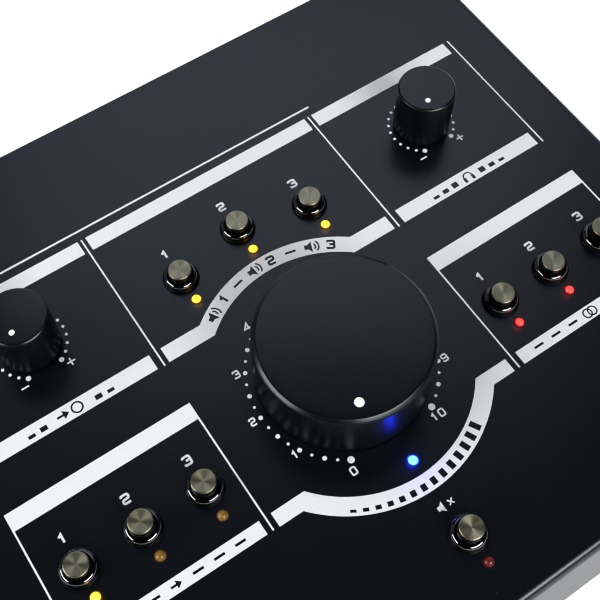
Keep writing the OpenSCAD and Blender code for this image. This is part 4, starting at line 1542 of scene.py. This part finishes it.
# %% [markdown]
# ## The room
# A black gloss finish shows hardly any colour of its own. What gives it shape is the room that it
# mirrors. This one is dark over the front and the left, and pale behind, so the panel goes from
# black to a soft grey as in the photograph. To the camera the room is plain white. A picture of a
# real room would do as well, but a few gradients can be steered one by one.

# %% Gradients of the room
REAR_PALE, HORIZON_PALE = 0.35, 0.22
COOL = {"Green": 1.06, "Blue": 1.36}


def make_room():
    world = bpy.data.worlds.new("room")
    bpy.context.scene.world = world
    world.use_nodes = True
    tree = world.node_tree
    toward = node(tree, "TexCoord").outputs["Generated"]
    axis = node(tree, "SeparateXYZ", {"Vector": toward}).outputs
    rearward = maths(tree, "ADD", axis["Y"], maths(tree, "MULTIPLY", axis["X"], 0.25))
    rear = maths(tree, "MULTIPLY", spread(tree, rearward, (0.08, 0.48), (0.01, REAR_PALE)),
                 spread(tree, axis["X"], (-0.15, 0.15), (0.3, 1.0)))
    horizon = maths(tree, "MULTIPLY", spread(tree, axis["Z"], (0.25, 0.05), (0.0, HORIZON_PALE)),
                    spread(tree, axis["Y"], (-0.6, 0.2), (0.1, 1.0)))
    rays = node(tree, "LightPath").outputs
    seen = maths(tree, "MAXIMUM", rays["Is Camera Ray"], rays["Is Transmission Ray"])
    level = maths(tree, "MAXIMUM", maths(tree, "MAXIMUM", rear, horizon), seen)
    cooled = {name: maths(tree, "MULTIPLY", level, share) for name, share in COOL.items()}
    feed(tree, tree.nodes["Background"],
         Color=node(tree, "CombineColor", {"Red": level, **cooled}).outputs[0])
    print("room nodes:", len(tree.nodes))


make_room()

# %% [markdown]
# ## Softboxes
# Two wide, low boxes at the left and the front right draw the bright arcs on the knob's rim and the
# collars. A broad one over the rear lightens the top, and a large one over the left brings up the
# white print. That last one is kept out of reflections, because the gloss would show its shape.

# %% Four area lights that look at the dial
WIDE_AND_LOW = (0.56, 0.24)


def softbox(name, direction, distance, size, power, tone=(250, 252, 255), mirrored_too=True):
    light = bpy.data.lights.new(name, "AREA")
    light.shape = "RECTANGLE"
    light.size, light.size_y = size
    light.energy = power
    light.color = colour(*tone)[:3]
    lamp = bpy.data.objects.new(name, light)
    toward = Vector(direction).normalized()
    lamp.rotation_mode = "QUATERNION"
    lamp.rotation_quaternion = toward.to_track_quat("Z", "Y")
    lamp.location = Vector(dial_joint["pos_m"]) + toward * distance
    lamp.visible_glossy = mirrored_too
    bpy.context.scene.collection.objects.link(lamp)
    print(name, power, "W at", distance, "m")


softbox("left_box", (-0.85, 0.12, 0.5), distance=0.8, size=WIDE_AND_LOW, power=4.2)
softbox("front_right_box", (0.1, -0.85, 0.52), distance=0.8, size=WIDE_AND_LOW, power=5.6)
softbox("print_fill", (-0.5, 0.45, 0.8), distance=1.1, size=(0.9, 0.9), power=5.5,
        mirrored_too=False)
softbox("rear_top_box", (0.31, 0.39, 0.87), distance=1.1, size=(0.76, 0.54), power=0.95,
        tone=(226, 232, 255))
